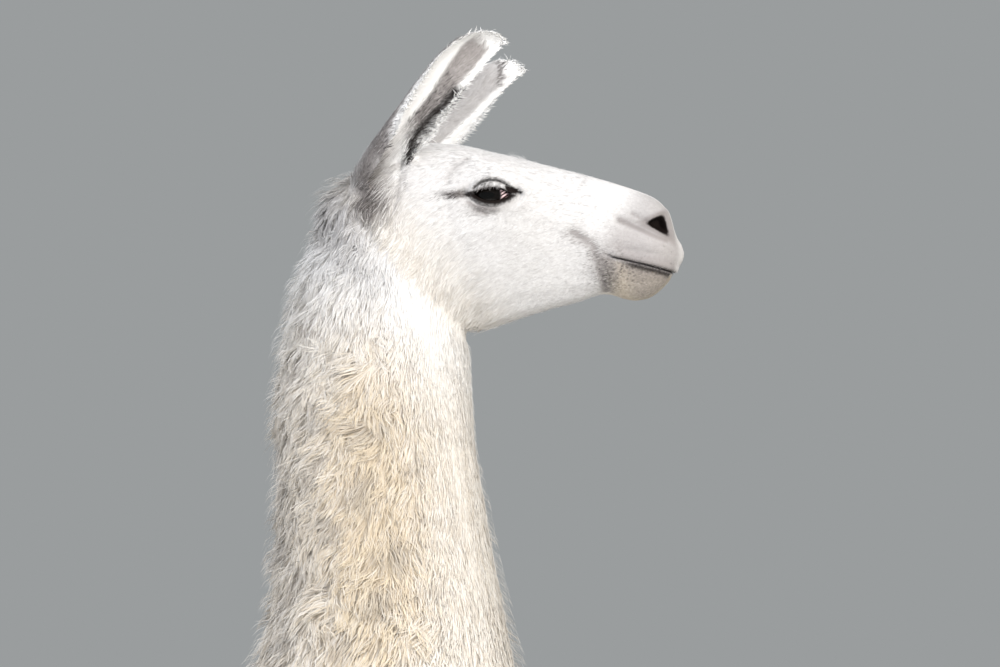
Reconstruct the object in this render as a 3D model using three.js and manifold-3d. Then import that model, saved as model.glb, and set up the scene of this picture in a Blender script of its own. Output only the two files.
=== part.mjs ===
// A life-size standing llama, as a still museum model.
// Millimetres. +X is the way it faces, +Y its left, +Z up, and its soles stand on Z = 0.
// Every outline is drawn to the tips of the wool.
import * as THREE from "three";
import { mergeVertices } from "three/addons/utils/BufferGeometryUtils.js";
import Module from "manifold-3d";

// ---- driving dimensions ----
const GAP = 0.4; // clearance left where two sub-parts meet
const FORE_LEG = { x: -58, y: 96 }; // where a leg stands, measured from the neck's middle line
const HIND_LEG = { x: -765, y: 102 };
const ANKLE_Z = 92; // a foot is parted from its leg here
const NAPE = { x: -52, z: 1642 }; // the head is parted from the neck along the line from here
const THROAT = { x: 78, z: 1486 }; // to here
const WITHERS = { x: -176, z: 1130 }; // and the neck from the trunk along this line
const BREAST = { x: 162, z: 985 };

const EYE = { x: 105, y: 45.5, z: 1626.5, radius: 20 }; // the left eyeball
const EYE_SLIT = { length: 40, height: 22, depth: 36, out: 16, tilt: 0.06 };
const NOSTRIL = { x: 270, y: 25, z: 1599, length: 27, height: 13, depth: 22, slope: 0.5 };
const MOUTH_CORNER = { x: 222, z: 1568 };
const MOUTH_FRONT = { x: 300, z: 1549 };
const MOUTH_GAPE = 1.8;

const EAR_LENGTH = 183;
const EAR_HALF_WIDTH = 28;
const EAR_WALL = 7;
const EAR_RIM = 0.35; // how much of the wall's thickness is left at its two edges
const EAR_ROOT_Y = 43;
const EAR_SPLAY = 0.1; // angle that the ears lean apart

const TOE_LENGTH = 108;
const TOE_HALF_WIDTH = 20;
const TOE_PLACE = { forward: 8, apart: 18, turnOut: 0.09 }; // of each toe, from the foot's middle line
const TOE_SOLE = -12; // a toe is modelled below the floor and trimmed flat at Z = 0
const TOE_SQUARENESS = 2.4; // 2 is an ellipse
const NAIL_SQUARENESS = 2.2;
const BLOCK = 4000; // the blocks that trim the forms are wider than the animal

// Rings and sides of each lofted form.
const DETAIL = {
  neck: { rings: 56, sides: 20 },
  trunk: { rings: 20, sides: 20 },
  leg: { rings: 14, sides: 12 },
  tail: { rings: 9, sides: 8 },
  toe: { rings: 7, sides: 8 },
  nail: { rings: 4, sides: 6 },
  ear: { rings: 10, sides: 14 },
  ball: { around: 12, down: 8 },
};

const WHITE_WOOL = { color: 0xe9e3d6, roughness: 0.95 };
const EYE_GLOSS = { color: 0x120c0a, roughness: 0.08 };
const HORN = { color: 0x6b5c4c, roughness: 0.5 };
const FOOT_HAIR = { color: 0xd8cfc0, roughness: 0.9 };

// ---- outlines, as stations from one end of a form to the other ----

// Neck and head in one run, from inside the chest to the lips. upX, upZ is the nape, crown or nose line
// and downX, downZ the throat or jaw line; half is half the width, mid the share of the depth, from
// below, at which it is widest, and crown and keel how square the section is above and below that.
const NECK_AND_HEAD = [
  { upX: -250, upZ: 850, downX: -6, downZ: 616, half: 120, mid: 0.5, crown: 2, keel: 2 },
  { upX: -282, upZ: 930, downX: 100, downZ: 690, half: 168, mid: 0.5, crown: 2, keel: 2 },
  { upX: -280, upZ: 1015, downX: 158, downZ: 795, half: 184, mid: 0.48, crown: 2, keel: 2 },
  { upX: -246, upZ: 1080, downX: 171, downZ: 900, half: 178, mid: 0.46, crown: 2, keel: 2 },
  { upX: -176, upZ: 1122, downX: 164, downZ: 1000, half: 155, mid: 0.46, crown: 2, keel: 2 },
  { upX: -124, upZ: 1174, downX: 143, downZ: 1098, half: 126, mid: 0.48, crown: 2, keel: 2 },
  { upX: -122, upZ: 1240, downX: 120, downZ: 1200, half: 104, mid: 0.5, crown: 2, keel: 2 },
  { upX: -123, upZ: 1330, downX: 100, downZ: 1296, half: 94, mid: 0.5, crown: 2, keel: 2 },
  { upX: -130, upZ: 1420, downX: 86, downZ: 1382, half: 90, mid: 0.5, crown: 2, keel: 2 },
  { upX: -131, upZ: 1500, downX: 82, downZ: 1440, half: 86, mid: 0.5, crown: 2, keel: 2 },
  { upX: -115, upZ: 1560, downX: 80, downZ: 1474, half: 80, mid: 0.5, crown: 2, keel: 2 },
  { upX: -84, upZ: 1612, downX: 77, downZ: 1492, half: 72, mid: 0.52, crown: 2, keel: 2 },
  { upX: -42, upZ: 1648, downX: 80, downZ: 1497, half: 66, mid: 0.55, crown: 2.1, keel: 1.9 },
  { upX: 0, upZ: 1674, downX: 86, downZ: 1497, half: 64, mid: 0.6, crown: 2.2, keel: 1.9 },
  { upX: 38, upZ: 1684, downX: 94, downZ: 1497, half: 63, mid: 0.66, crown: 2.3, keel: 1.8 },
  { upX: 72, upZ: 1682, downX: 106, downZ: 1499, half: 63, mid: 0.7, crown: 2.4, keel: 1.8 },
  { upX: 102, upZ: 1675, downX: 122, downZ: 1504, half: 61, mid: 0.72, crown: 2.4, keel: 1.7 },
  { upX: 132, upZ: 1668, downX: 142, downZ: 1511, half: 54, mid: 0.68, crown: 2.3, keel: 1.7 },
  { upX: 164, upZ: 1660, downX: 166, downZ: 1518, half: 45, mid: 0.62, crown: 2.2, keel: 1.8 },
  { upX: 196, upZ: 1652, downX: 192, downZ: 1524, half: 38, mid: 0.56, crown: 2.1, keel: 1.9 },
  { upX: 224, upZ: 1644, downX: 216, downZ: 1529, half: 34, mid: 0.52, crown: 2.1, keel: 2 },
  { upX: 248, upZ: 1636, downX: 238, downZ: 1527, half: 33, mid: 0.5, crown: 2.1, keel: 2 },
  { upX: 267, upZ: 1627, downX: 258, downZ: 1529, half: 32, mid: 0.5, crown: 2.1, keel: 2.1 },
  { upX: 279, upZ: 1614, downX: 270, downZ: 1536, half: 29, mid: 0.5, crown: 2.2, keel: 2.1 },
  { upX: 284, upZ: 1598, downX: 279, downZ: 1545, half: 24, mid: 0.5, crown: 2.2, keel: 2.2 },
  { upX: 291, upZ: 1584, downX: 286, downZ: 1555, half: 16, mid: 0.5, crown: 2.1, keel: 2.1 },
  { upX: 295, upZ: 1574, downX: 293, downZ: 1564, half: 5, mid: 0.5, crown: 2, keel: 2 },
];

// Soft swellings and hollows on both sides of the head: out is how far the surface moves there.
const HEAD_FORMS = {
  brow: { x: 107, y: 62, z: 1650, reach: 17, out: 7 },
  orbitFront: { x: 130, y: 55, z: 1640, reach: 13, out: 3 },
  temple: { x: 62, y: 62, z: 1650, reach: 18, out: -4 },
  cheekbone: { x: 118, y: 56, z: 1612, reach: 18, out: 4 },
  cheek: { x: 66, y: 56, z: 1572, reach: 34, out: 4 },
  jawHollow: { x: 170, y: 40, z: 1560, reach: 26, out: -4 },
  lipCorner: { x: 214, y: 34, z: 1565, reach: 14, out: 2 },
  upperLip: { x: 262, y: 28, z: 1576, reach: 14, out: 6 },
  lipNotch: { x: 285, y: 0, z: 1592, reach: 6, out: -4 },
  nostrilWing: { x: 262, y: 25, z: 1614, reach: 11, out: 5 },
  nostrilFold: { x: 244, y: 32, z: 1606, reach: 8, out: -3 },
  chin: { x: 250, y: 14, z: 1531, reach: 15, out: 3 },
  chinBack: { x: 214, y: 0, z: 1528, reach: 12, out: -4 },
};

// The trunk from rump to breast: top and bottom of the fleece, half its width, and the widest height.
const TRUNK = [
  { x: -920, top: 930, bottom: 850, half: 34, mid: 0.5, crown: 2, keel: 2 },
  { x: -910, top: 1002, bottom: 770, half: 92, mid: 0.5, crown: 2.1, keel: 2 },
  { x: -880, top: 1058, bottom: 694, half: 142, mid: 0.52, crown: 2.1, keel: 1.9 },
  { x: -822, top: 1092, bottom: 634, half: 178, mid: 0.5, crown: 2.1, keel: 2 },
  { x: -735, top: 1110, bottom: 604, half: 197, mid: 0.48, crown: 2.1, keel: 2.1 },
  { x: -620, top: 1112, bottom: 592, half: 206, mid: 0.46, crown: 2.1, keel: 2.2 },
  { x: -490, top: 1106, bottom: 576, half: 216, mid: 0.45, crown: 2.1, keel: 2.3 },
  { x: -360, top: 1105, bottom: 562, half: 218, mid: 0.45, crown: 2.1, keel: 2.3 },
  { x: -240, top: 1112, bottom: 555, half: 209, mid: 0.46, crown: 2.1, keel: 2.3 },
  { x: -130, top: 1106, bottom: 560, half: 198, mid: 0.48, crown: 2, keel: 2.2 },
  { x: -40, top: 1050, bottom: 580, half: 182, mid: 0.5, crown: 2, keel: 2.1 },
  { x: 26, top: 970, bottom: 626, half: 152, mid: 0.52, crown: 2, keel: 2 },
  { x: 66, top: 890, bottom: 690, half: 104, mid: 0.52, crown: 2, keel: 2 },
  { x: 80, top: 820, bottom: 760, half: 40, mid: 0.5, crown: 2, keel: 2 },
];

// Soft swellings and hollows on both sides of the trunk.
const TRUNK_FORMS = {
  haunch: { x: -740, y: 190, z: 860, reach: 110, out: 12 },
  thigh: { x: -765, y: 165, z: 700, reach: 90, out: 14 },
  flank: { x: -585, y: 200, z: 720, reach: 80, out: -16 },
  shoulder: { x: -70, y: 165, z: 860, reach: 110, out: 12 },
  forearm: { x: -60, y: 150, z: 660, reach: 70, out: 12 },
  elbowHollow: { x: -190, y: 180, z: 680, reach: 70, out: -12 },
  withers: { x: -165, y: 0, z: 1112, reach: 70, out: 8 },
  loin: { x: -560, y: 0, z: 1106, reach: 110, out: -5 },
};

// A leg from the body down to the foot. x is the middle line, measured from where the foot stands.
const FORE_LEG_STATIONS = [
  { x: -6, z: 800, front: 80, back: 90, side: 50 },
  { x: -8, z: 705, front: 94, back: 104, side: 70 },
  { x: -8, z: 625, front: 80, back: 88, side: 66 },
  { x: -4, z: 545, front: 60, back: 64, side: 53 },
  { x: 0, z: 450, front: 46, back: 46, side: 42 },
  { x: 2, z: 380, front: 42, back: 38, side: 39 },
  { x: 0, z: 325, front: 34, back: 32, side: 32 },
  { x: -2, z: 250, front: 28, back: 28, side: 27 },
  { x: -4, z: 170, front: 28, back: 29, side: 27 },
  { x: -4, z: 118, front: 32, back: 33, side: 33 },
  { x: 4, z: 76, front: 36, back: 34, side: 36 },
  { x: 10, z: 36, front: 42, back: 38, side: 35 },
];
const HIND_LEG_STATIONS = [
  { x: 20, z: 880, front: 120, back: 100, side: 50 },
  { x: 18, z: 790, front: 160, back: 132, side: 76 },
  { x: 12, z: 695, front: 160, back: 130, side: 92 },
  { x: -4, z: 610, front: 116, back: 102, side: 76 },
  { x: -30, z: 530, front: 74, back: 70, side: 55 },
  { x: -50, z: 462, front: 47, back: 52, side: 41 },
  { x: -58, z: 415, front: 38, back: 43, side: 36 },
  { x: -52, z: 360, front: 32, back: 34, side: 31 },
  { x: -40, z: 270, front: 28, back: 29, side: 28 },
  { x: -26, z: 180, front: 28, back: 29, side: 27 },
  { x: -12, z: 120, front: 32, back: 33, side: 33 },
  { x: 2, z: 76, front: 36, back: 34, side: 36 },
  { x: 10, z: 36, front: 42, back: 38, side: 35 },
];

const TAIL = [
  { x: -866, z: 1006, front: 40, side: 44 },
  { x: -908, z: 1016, front: 48, side: 52 },
  { x: -950, z: 994, front: 48, side: 55 },
  { x: -972, z: 938, front: 46, side: 55 },
  { x: -978, z: 872, front: 41, side: 48 },
  { x: -972, z: 810, front: 29, side: 33 },
  { x: -966, z: 782, front: 9, side: 10 },
];

// A toe from heel to tip, as shares of its length and half width; it is flat underneath.
const TOE = [
  { along: -0.4, top: 18, half: 0.4 },
  { along: -0.35, top: 36, half: 0.78 },
  { along: -0.2, top: 54, half: 0.96 },
  { along: 0.05, top: 62, half: 1 },
  { along: 0.28, top: 52, half: 1 },
  { along: 0.46, top: 38, half: 0.9 },
  { along: 0.56, top: 26, half: 0.66 },
  { along: 0.6, top: 14, half: 0.3 },
];

// A nail from its root inside the toe to its blunt tip; along is a share of the toe's length.
const NAIL = [
  { along: 0.38, top: 31, bottom: 16, half: 6 },
  { along: 0.48, top: 35, bottom: 8, half: 9.5 },
  { along: 0.58, top: 29, bottom: 3.5, half: 9 },
  { along: 0.66, top: 18, bottom: 1.5, half: 6.5 },
  { along: 0.7, top: 10, bottom: 1.2, half: 3 },
];

// Each ear from its root to its tip. x, z set it on the head and pitch tips it forward. The right ear
// turns its hollow out to the side, and the left one is pricked further forward.
const EARS = {
  right: { side: -1, x: -13, z: 1653, pitch: 0.76, turn: 0.8 },
  left: { side: 1, x: -11, z: 1644, pitch: 0.85, turn: 0.9 },
};

// An ear from inside the head to its tip. open is half the angle left open between the two edges of its
// wall; bow is how far its middle line stands back, and hook how far it stands outwards.
const EAR = [
  { along: -0.2, width: 0.55, open: 0.4, wall: 1.3, bow: -0.04, hook: -0.13 },
  { along: -0.05, width: 0.68, open: 0.5, wall: 1.3, bow: 0, hook: -0.03 },
  { along: 0.1, width: 0.78, open: 0.7, wall: 1.2, bow: 0, hook: 0.03 },
  { along: 0.27, width: 0.86, open: 1.1, wall: 1, bow: 0, hook: 0.06 },
  { along: 0.45, width: 0.92, open: 1.5, wall: 1, bow: 0.008, hook: 0.07 },
  { along: 0.63, width: 0.96, open: 1.8, wall: 1, bow: 0.02, hook: 0.05 },
  { along: 0.8, width: 0.92, open: 1.95, wall: 0.95, bow: 0.02, hook: 0 },
  { along: 0.92, width: 0.74, open: 2.05, wall: 0.9, bow: 0, hook: -0.05 },
  { along: 1, width: 0.4, open: 2.1, wall: 0.8, bow: -0.015, hook: -0.09 },
];

// ---- tools ----

// The sizes between stations follow one smooth curve through all of them; u runs from 0 to 1.
function between(stations, u) {
  const last = stations.length - 1;
  const place = THREE.MathUtils.clamp(u, 0, 1) * last;
  const i = Math.min(Math.floor(place), last - 1);
  const t = place - i;
  const near = [i - 1, i, i + 1, i + 2].map((k) => stations[THREE.MathUtils.clamp(k, 0, last)]);
  const sizes = {};
  for (const key of Object.keys(stations[0])) {
    const [a, b, c, d] = near.map((station) => station[key]);
    const bend = (c - a) * t + (2 * a - 5 * b + 4 * c - d) * t * t + (3 * b - a - 3 * c + d) * t ** 3;
    sizes[key] = b + bend / 2;
  }
  return sizes;
}

// A superellipse's two coordinates at an angle; a higher power is squarer.
function superellipse(angle, power) {
  const bent = (v) => Math.sign(v) * Math.abs(v) ** (2 / power);
  return [bent(Math.cos(angle)), bent(Math.sin(angle))];
}

// Joins equal rings of points into one closed skin with a point in the middle of each end.
function loft(rings) {
  const sides = rings[0].length;
  const middle = (ring) => ring.reduce((sum, p) => sum.add(p), new THREE.Vector3()).divideScalar(sides);
  const points = [...rings.flat(), middle(rings[0]), middle(rings.at(-1))];
  const first = points.length - 2;
  const end = first + 1;
  const faces = [];
  for (let i = 0; i < sides; i++) {
    const next = (i + 1) % sides;
    const top = (rings.length - 1) * sides;
    faces.push(first, next, i, end, top + i, top + next);
    for (let r = 0; r + 1 < rings.length; r++) {
      const a = r * sides;
      const b = a + sides;
      faces.push(a + i, a + next, b + next, a + i, b + next, b + i);
    }
  }
  const geometry = new THREE.BufferGeometry().setFromPoints(points);
  return geometry.setIndex(faces);
}

// Lofts a list of stations: makePoint turns the sizes at each place and an angle into a point.
function loftStations(stations, detail, makePoint) {
  const rings = [];
  for (let r = 0; r < detail.rings; r++) {
    const u = r / (detail.rings - 1);
    const sizes = between(stations, u);
    const ring = [];
    for (let i = 0; i < detail.sides; i++) {
      ring.push(makePoint(sizes, (i / detail.sides) * 2 * Math.PI, u));
    }
    rings.push(ring);
  }
  return loft(rings);
}

const wasm = await Module();
wasm.setup();

function bare(geometry) {
  const copy = geometry.clone();
  copy.deleteAttribute("normal");
  copy.deleteAttribute("uv");
  return mergeVertices(copy, 1e-3);
}

function solid(geometry) {
  const { attributes, index } = bare(geometry);
  const triVerts = new Uint32Array(index.array);
  const made = new wasm.Manifold(
    new wasm.Mesh({ numProp: 3, vertProperties: attributes.position.array, triVerts }),
  );
  if (made.volume() < 0) {
    throw new Error("a form is inside out");
  }
  return made;
}

// The same form with its surface moved out by the clearance, for cutting its neighbour.
function swollen(geometry) {
  const grown = bare(geometry);
  grown.computeVertexNormals();
  const { position, normal } = grown.attributes;
  const point = new THREE.Vector3();
  const out = new THREE.Vector3();
  for (let i = 0; i < position.count; i++) {
    point.fromBufferAttribute(position, i).addScaledVector(out.fromBufferAttribute(normal, i), GAP);
    position.setXYZ(i, point.x, point.y, point.z);
  }
  return solid(grown);
}

// A cut can leave loose crumbs; the sub-part is the largest body.
function largest(made) {
  return made.decompose().sort((a, b) => b.volume() - a.volume())[0];
}

// The half space on one side of a line in the side view, as a large block half a clearance off it.
function beyond(from, to, side) {
  const angle = Math.atan2(to.z - from.z, to.x - from.x);
  const block = new THREE.BoxGeometry(BLOCK, BLOCK, BLOCK).translate(0, 0, (side * (BLOCK + GAP)) / 2);
  return solid(block.rotateY(-angle).translate(from.x, 0, from.z));
}

function ellipsoid({ x, y, z }, lengthX, lengthY, lengthZ, turnY) {
  const ball = new THREE.SphereGeometry(0.5, DETAIL.ball.around, DETAIL.ball.down);
  return solid(ball.scale(lengthX, lengthY, lengthZ).rotateY(turnY).translate(x, y, z));
}

// ---- forms ----

// How far a set of swellings and hollows moves the surface at a point.
function swelling(forms, point) {
  let out = 0;
  for (const form of Object.values(forms)) {
    const away = new THREE.Vector3(point.x - form.x, Math.abs(point.y) - form.y, point.z - form.z);
    out += form.out * Math.exp(-away.lengthSq() / (2 * form.reach ** 2));
  }
  return out;
}

function neckAndHead() {
  return loftStations(NECK_AND_HEAD, DETAIL.neck, (s, angle) => {
    const up = new THREE.Vector3(s.upX - s.downX, 0, s.upZ - s.downZ);
    const centre = new THREE.Vector3(s.downX, 0, s.downZ).addScaledVector(up, s.mid);
    const above = Math.sin(angle) > 0;
    const [across, rise] = superellipse(angle, above ? s.crown : s.keel);
    const point = centre.clone().addScaledVector(up, rise * (above ? 1 - s.mid : s.mid));
    point.y = across * s.half;
    const outward = point.clone().sub(centre).normalize();
    return point.addScaledVector(outward, swelling(HEAD_FORMS, point));
  });
}

function trunk() {
  return loftStations(TRUNK, DETAIL.trunk, (s, angle) => {
    const above = Math.sin(angle) > 0;
    const [across, rise] = superellipse(angle, above ? s.crown : s.keel);
    const depth = s.top - s.bottom;
    const centre = new THREE.Vector3(s.x, 0, s.bottom + depth * s.mid);
    const z = centre.z + rise * depth * (above ? 1 - s.mid : s.mid);
    const point = new THREE.Vector3(s.x, across * s.half, z);
    const outward = point.clone().sub(centre).normalize();
    return point.addScaledVector(outward, swelling(TRUNK_FORMS, point));
  });
}

function leg(stations, stand, side) {
  return loftStations(stations, DETAIL.leg, (s, angle) => {
    const forward = Math.cos(angle) * (Math.cos(angle) > 0 ? s.front : s.back);
    const x = stand.x + s.x + forward;
    return new THREE.Vector3(x, side * stand.y - Math.sin(angle) * s.side, s.z);
  });
}

function tail() {
  const step = 0.03;
  return loftStations(TAIL, DETAIL.tail, (s, angle, u) => {
    const before = between(TAIL, u - step);
    const after = between(TAIL, u + step);
    const back = new THREE.Vector3(after.z - before.z, 0, before.x - after.x).normalize();
    const point = new THREE.Vector3(s.x, 0, s.z).addScaledVector(back, Math.cos(angle) * s.front);
    point.y = Math.sin(angle) * s.side;
    return point;
  });
}

// One of a foot's two toes, or the nail on it. spread is -1 for the right toe and 1 for the left one.
function toe(stand, side, spread) {
  const form = loftStations(TOE, DETAIL.toe, (s, angle) => {
    const [across, rise] = superellipse(angle, TOE_SQUARENESS);
    const half = (s.top - TOE_SOLE) / 2;
    const y = across * s.half * TOE_HALF_WIDTH;
    return new THREE.Vector3(s.along * TOE_LENGTH, y, TOE_SOLE + half + rise * half);
  });
  return ontoFoot(form, stand, side, spread);
}

function nail(stand, side, spread) {
  const form = loftStations(NAIL, DETAIL.nail, (s, angle) => {
    const [across, rise] = superellipse(angle, NAIL_SQUARENESS);
    const half = (s.top - s.bottom) / 2;
    return new THREE.Vector3(s.along * TOE_LENGTH, across * s.half, s.bottom + half + rise * half);
  });
  return ontoFoot(form, stand, side, spread);
}

function ontoFoot(form, stand, side, spread) {
  form.translate(0, spread * TOE_PLACE.apart, 0).rotateZ(spread * TOE_PLACE.turnOut);
  return form.translate(stand.x + TOE_PLACE.forward, side * stand.y, 0);
}

// An ear is a curled wall: round its back from edge to edge, then back along its hollow.
function ear({ side, x, z, pitch, turn }) {
  const { rings, sides } = DETAIL.ear;
  const half = sides / 2;
  const up = new THREE.Vector3(0, 0, 1);
  const made = [];
  for (let r = 0; r < rings; r++) {
    const s = between(EAR, r / (rings - 1));
    const spread = Math.PI - s.open;
    const radius = (s.width * EAR_HALF_WIDTH) / Math.sin(Math.min(spread, Math.PI / 2));
    const ring = [];
    for (let i = 0; i < sides; i++) {
      const outside = i < half;
      const share = (outside ? i : sides - 1 - i) / (half - 1);
      const wall = EAR_WALL * s.wall * (EAR_RIM + (1 - EAR_RIM) * Math.sin(share * Math.PI));
      const point = new THREE.Vector3(radius - (outside ? 0 : wall), 0, s.along * EAR_LENGTH);
      point.applyAxisAngle(up, Math.PI + (share * 2 - 1) * spread + side * turn);
      point.x -= s.bow * EAR_LENGTH;
      point.y += side * s.hook * EAR_LENGTH;
      ring.push(point);
    }
    made.push(ring);
  }
  const form = loft(made).rotateX(-side * EAR_SPLAY).rotateY(pitch);
  return form.translate(x, side * EAR_ROOT_Y, z);
}

// ---- the whole animal, parted ----

const llama = new THREE.Group();

function add(name, made, look) {
  const { numProp, vertProperties, triVerts } = made.getMesh();
  const position = new Float32Array((vertProperties.length / numProp) * 3);
  for (let i = 0; i < position.length / 3; i++) {
    position.set(vertProperties.subarray(i * numProp, i * numProp + 3), i * 3);
  }
  const geometry = new THREE.BufferGeometry();
  geometry.setAttribute("position", new THREE.BufferAttribute(position, 3));
  geometry.setIndex(new THREE.BufferAttribute(triVerts, 1));
  geometry.computeVertexNormals();
  const mesh = new THREE.Mesh(geometry, new THREE.MeshStandardMaterial({ ...look, metalness: 0 }));
  mesh.name = name;
  llama.add(mesh);
}

// Opens the head for one eyeball, with the slit between its lids, and for one nostril.
function openSide(head, side) {
  const socket = new THREE.SphereGeometry(EYE.radius + GAP, DETAIL.ball.around, DETAIL.ball.down);
  const lids = { x: EYE.x, y: side * (EYE.y + EYE_SLIT.out), z: EYE.z };
  const nostril = { x: NOSTRIL.x, y: side * NOSTRIL.y, z: NOSTRIL.z };
  return head
    .subtract(solid(socket.translate(EYE.x, side * EYE.y, EYE.z)))
    .subtract(ellipsoid(lids, EYE_SLIT.length, EYE_SLIT.depth, EYE_SLIT.height, EYE_SLIT.tilt))
    .subtract(ellipsoid(nostril, NOSTRIL.length, NOSTRIL.depth, NOSTRIL.height, NOSTRIL.slope));
}

// The closed mouth is a thin cut from its front to its corners.
function mouthCut() {
  const run = MOUTH_FRONT.x - MOUTH_CORNER.x;
  const drop = MOUTH_CORNER.z - MOUTH_FRONT.z;
  const cut = new THREE.BoxGeometry(Math.hypot(run, drop), BLOCK, MOUTH_GAPE);
  cut.rotateY(Math.atan2(drop, run));
  return solid(cut.translate(MOUTH_CORNER.x + run / 2, 0, MOUTH_CORNER.z - drop / 2));
}

const SIDES = { left: 1, right: -1 };
const LEGS = {
  fore: { stand: FORE_LEG, stations: FORE_LEG_STATIONS },
  hind: { stand: HIND_LEG, stations: HIND_LEG_STATIONS },
};
const trunkForm = trunk();
const neckForm = neckAndHead();
const trunkCut = swollen(trunkForm);
const neckCut = swollen(neckForm);

const body = solid(trunkForm).add(solid(neckForm));
let head = body.intersect(beyond(NAPE, THROAT, 1)).subtract(mouthCut());
for (const side of Object.values(SIDES)) {
  head = openSide(head, side);
}
const neck = body.intersect(beyond(NAPE, THROAT, -1)).intersect(beyond(WITHERS, BREAST, 1));
add("head", largest(head), WHITE_WOOL);
add("neck", largest(neck), WHITE_WOOL);
add("trunk", largest(body.intersect(beyond(WITHERS, BREAST, -1))), WHITE_WOOL);
add("tail", largest(solid(tail()).subtract(trunkCut)), WHITE_WOOL);

for (const [name, side] of Object.entries(SIDES)) {
  add(`ear_${name}`, largest(solid(ear(EARS[name])).subtract(neckCut)), WHITE_WOOL);
  const ball = new THREE.SphereGeometry(EYE.radius, DETAIL.ball.around, DETAIL.ball.down);
  add(`eye_${name}`, solid(ball.translate(EYE.x, side * EYE.y, EYE.z)), EYE_GLOSS);
}

const chestCut = trunkCut.add(neckCut);
const ankle = [{ x: 0, z: ANKLE_Z }, { x: 1, z: ANKLE_Z }];
const aboveFloor = beyond({ x: 0, z: -GAP / 2 }, { x: 1, z: -GAP / 2 }, 1);
for (const [name, side] of Object.entries(SIDES)) {
  for (const [end, { stand, stations }] of Object.entries(LEGS)) {
    const whole = solid(leg(stations, stand, side));
    const limb = whole.intersect(beyond(...ankle, 1)).subtract(chestCut);
    add(`${end}_leg_${name}`, largest(limb), WHITE_WOOL);

    const toes = solid(toe(stand, side, 1)).add(solid(toe(stand, side, -1)));
    let foot = whole.add(toes).intersect(beyond(...ankle, -1)).intersect(aboveFloor);
    for (const [toeName, spread] of [["outer", side], ["inner", -side]]) {
      const claw = nail(stand, side, spread);
      foot = foot.subtract(swollen(claw));
      add(`nail_${end}_${name}_${toeName}`, solid(claw), HORN);
    }
    add(`${end}_foot_${name}`, largest(foot), FOOT_HAIR);
  }
}

// The origin is the middle of the footprint's box, on the floor.
const box = new THREE.Box3().setFromObject(llama);
llama.position.x = -(box.min.x + box.max.x) / 2;

export default llama;
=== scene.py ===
"""A life-size standing llama, dressed in its skin, wool, eyes and nails round a fixed frame of solids.

Metres, +X the way it faces, +Y its left, +Z up. One skin lies under the solids by the depth of the
coat, and the coat is grown on it as solid locks that reach out to the solids' surface.
"""
import math

import bmesh
import bpy
import numpy as np
from bpy.props import FloatProperty, FloatVectorProperty, PointerProperty
from mathutils import Matrix, Vector, noise
from mathutils.bvhtree import BVHTree
from mathutils.kdtree import KDTree


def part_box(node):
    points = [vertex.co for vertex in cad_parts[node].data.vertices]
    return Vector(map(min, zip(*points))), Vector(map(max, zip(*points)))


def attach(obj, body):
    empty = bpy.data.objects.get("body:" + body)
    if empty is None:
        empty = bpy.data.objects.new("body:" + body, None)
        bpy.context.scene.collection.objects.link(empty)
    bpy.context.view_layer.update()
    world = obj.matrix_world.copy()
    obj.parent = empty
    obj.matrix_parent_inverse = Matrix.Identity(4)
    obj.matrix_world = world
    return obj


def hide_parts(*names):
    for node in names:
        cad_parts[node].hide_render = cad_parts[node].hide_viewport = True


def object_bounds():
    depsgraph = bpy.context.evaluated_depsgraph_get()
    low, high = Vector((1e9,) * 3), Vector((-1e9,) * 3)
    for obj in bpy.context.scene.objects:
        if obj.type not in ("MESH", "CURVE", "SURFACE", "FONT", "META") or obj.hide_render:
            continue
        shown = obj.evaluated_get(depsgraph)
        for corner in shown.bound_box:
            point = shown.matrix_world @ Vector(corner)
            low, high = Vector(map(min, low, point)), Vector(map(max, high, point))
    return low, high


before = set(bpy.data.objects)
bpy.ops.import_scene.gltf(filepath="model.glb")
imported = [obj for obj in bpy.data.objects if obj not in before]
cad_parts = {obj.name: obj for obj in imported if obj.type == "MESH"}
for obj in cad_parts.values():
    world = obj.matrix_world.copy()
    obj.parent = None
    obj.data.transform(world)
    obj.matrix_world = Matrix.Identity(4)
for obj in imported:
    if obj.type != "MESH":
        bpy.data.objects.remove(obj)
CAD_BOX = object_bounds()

bl_info = {
    "name": "Llama",
    "version": (1, 0, 0),
    "blender": (4, 5, 0),
    "location": "3D View > Sidebar > Llama",
    "description": "A standing llama with skin, wool, eyes, lashes and nails",
    "category": "Object",
}

# ---- sizes and places, in millimetres from the neck's middle line on the floor ----

MM = 0.001
LIPS_X = 295  # the foremost point, from which every place is measured back
EYE_PLACE = (105, 45.5, 1626.5)  # the left eyeball's centre
EYE_RADIUS = 20
GAZE_SPAN = 50.0  # the millimetres across the eye that its attribute's 0 to 1 stand for
CORNEA = {"rise": 1.3, "reach": 0.72}  # how far the cornea bulges, and how wide it is in radians
IRIS = 12.6  # the iris's radius over the ball, where its dark rim begins
LID = {"radius": 22.3, "flat": 0.78}  # the lids' dome over the ball, and how much it is flattened
LID_OUTLINE = {"s": 1.6, "t": 2.3, "half": 19, "above": 5.6, "below": 7.4}  # the slit, from that centre
NOSTRIL = {"s": 270, "t": 1600}  # the middle of the nostril's opening, in the side view
NOSTRIL_CORNERS = ((-13.5, 1), (4.5, 10.5), (10.5, -12.5))  # of its opening, from that middle
NOSTRIL_PLUGS = ((266, 20, 1601, 12), (273, 17, 1598, 9))  # balls that fill it: x, y, z and radius
MOUTH_CORNER = (222, 1568)
MOUTH_FRONT = (300, 1549)
MUZZLE_X = 235  # the nostrils and lips lie ahead of here
FLANK_Y = 8  # the folds of the face stay this far from its middle line

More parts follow.
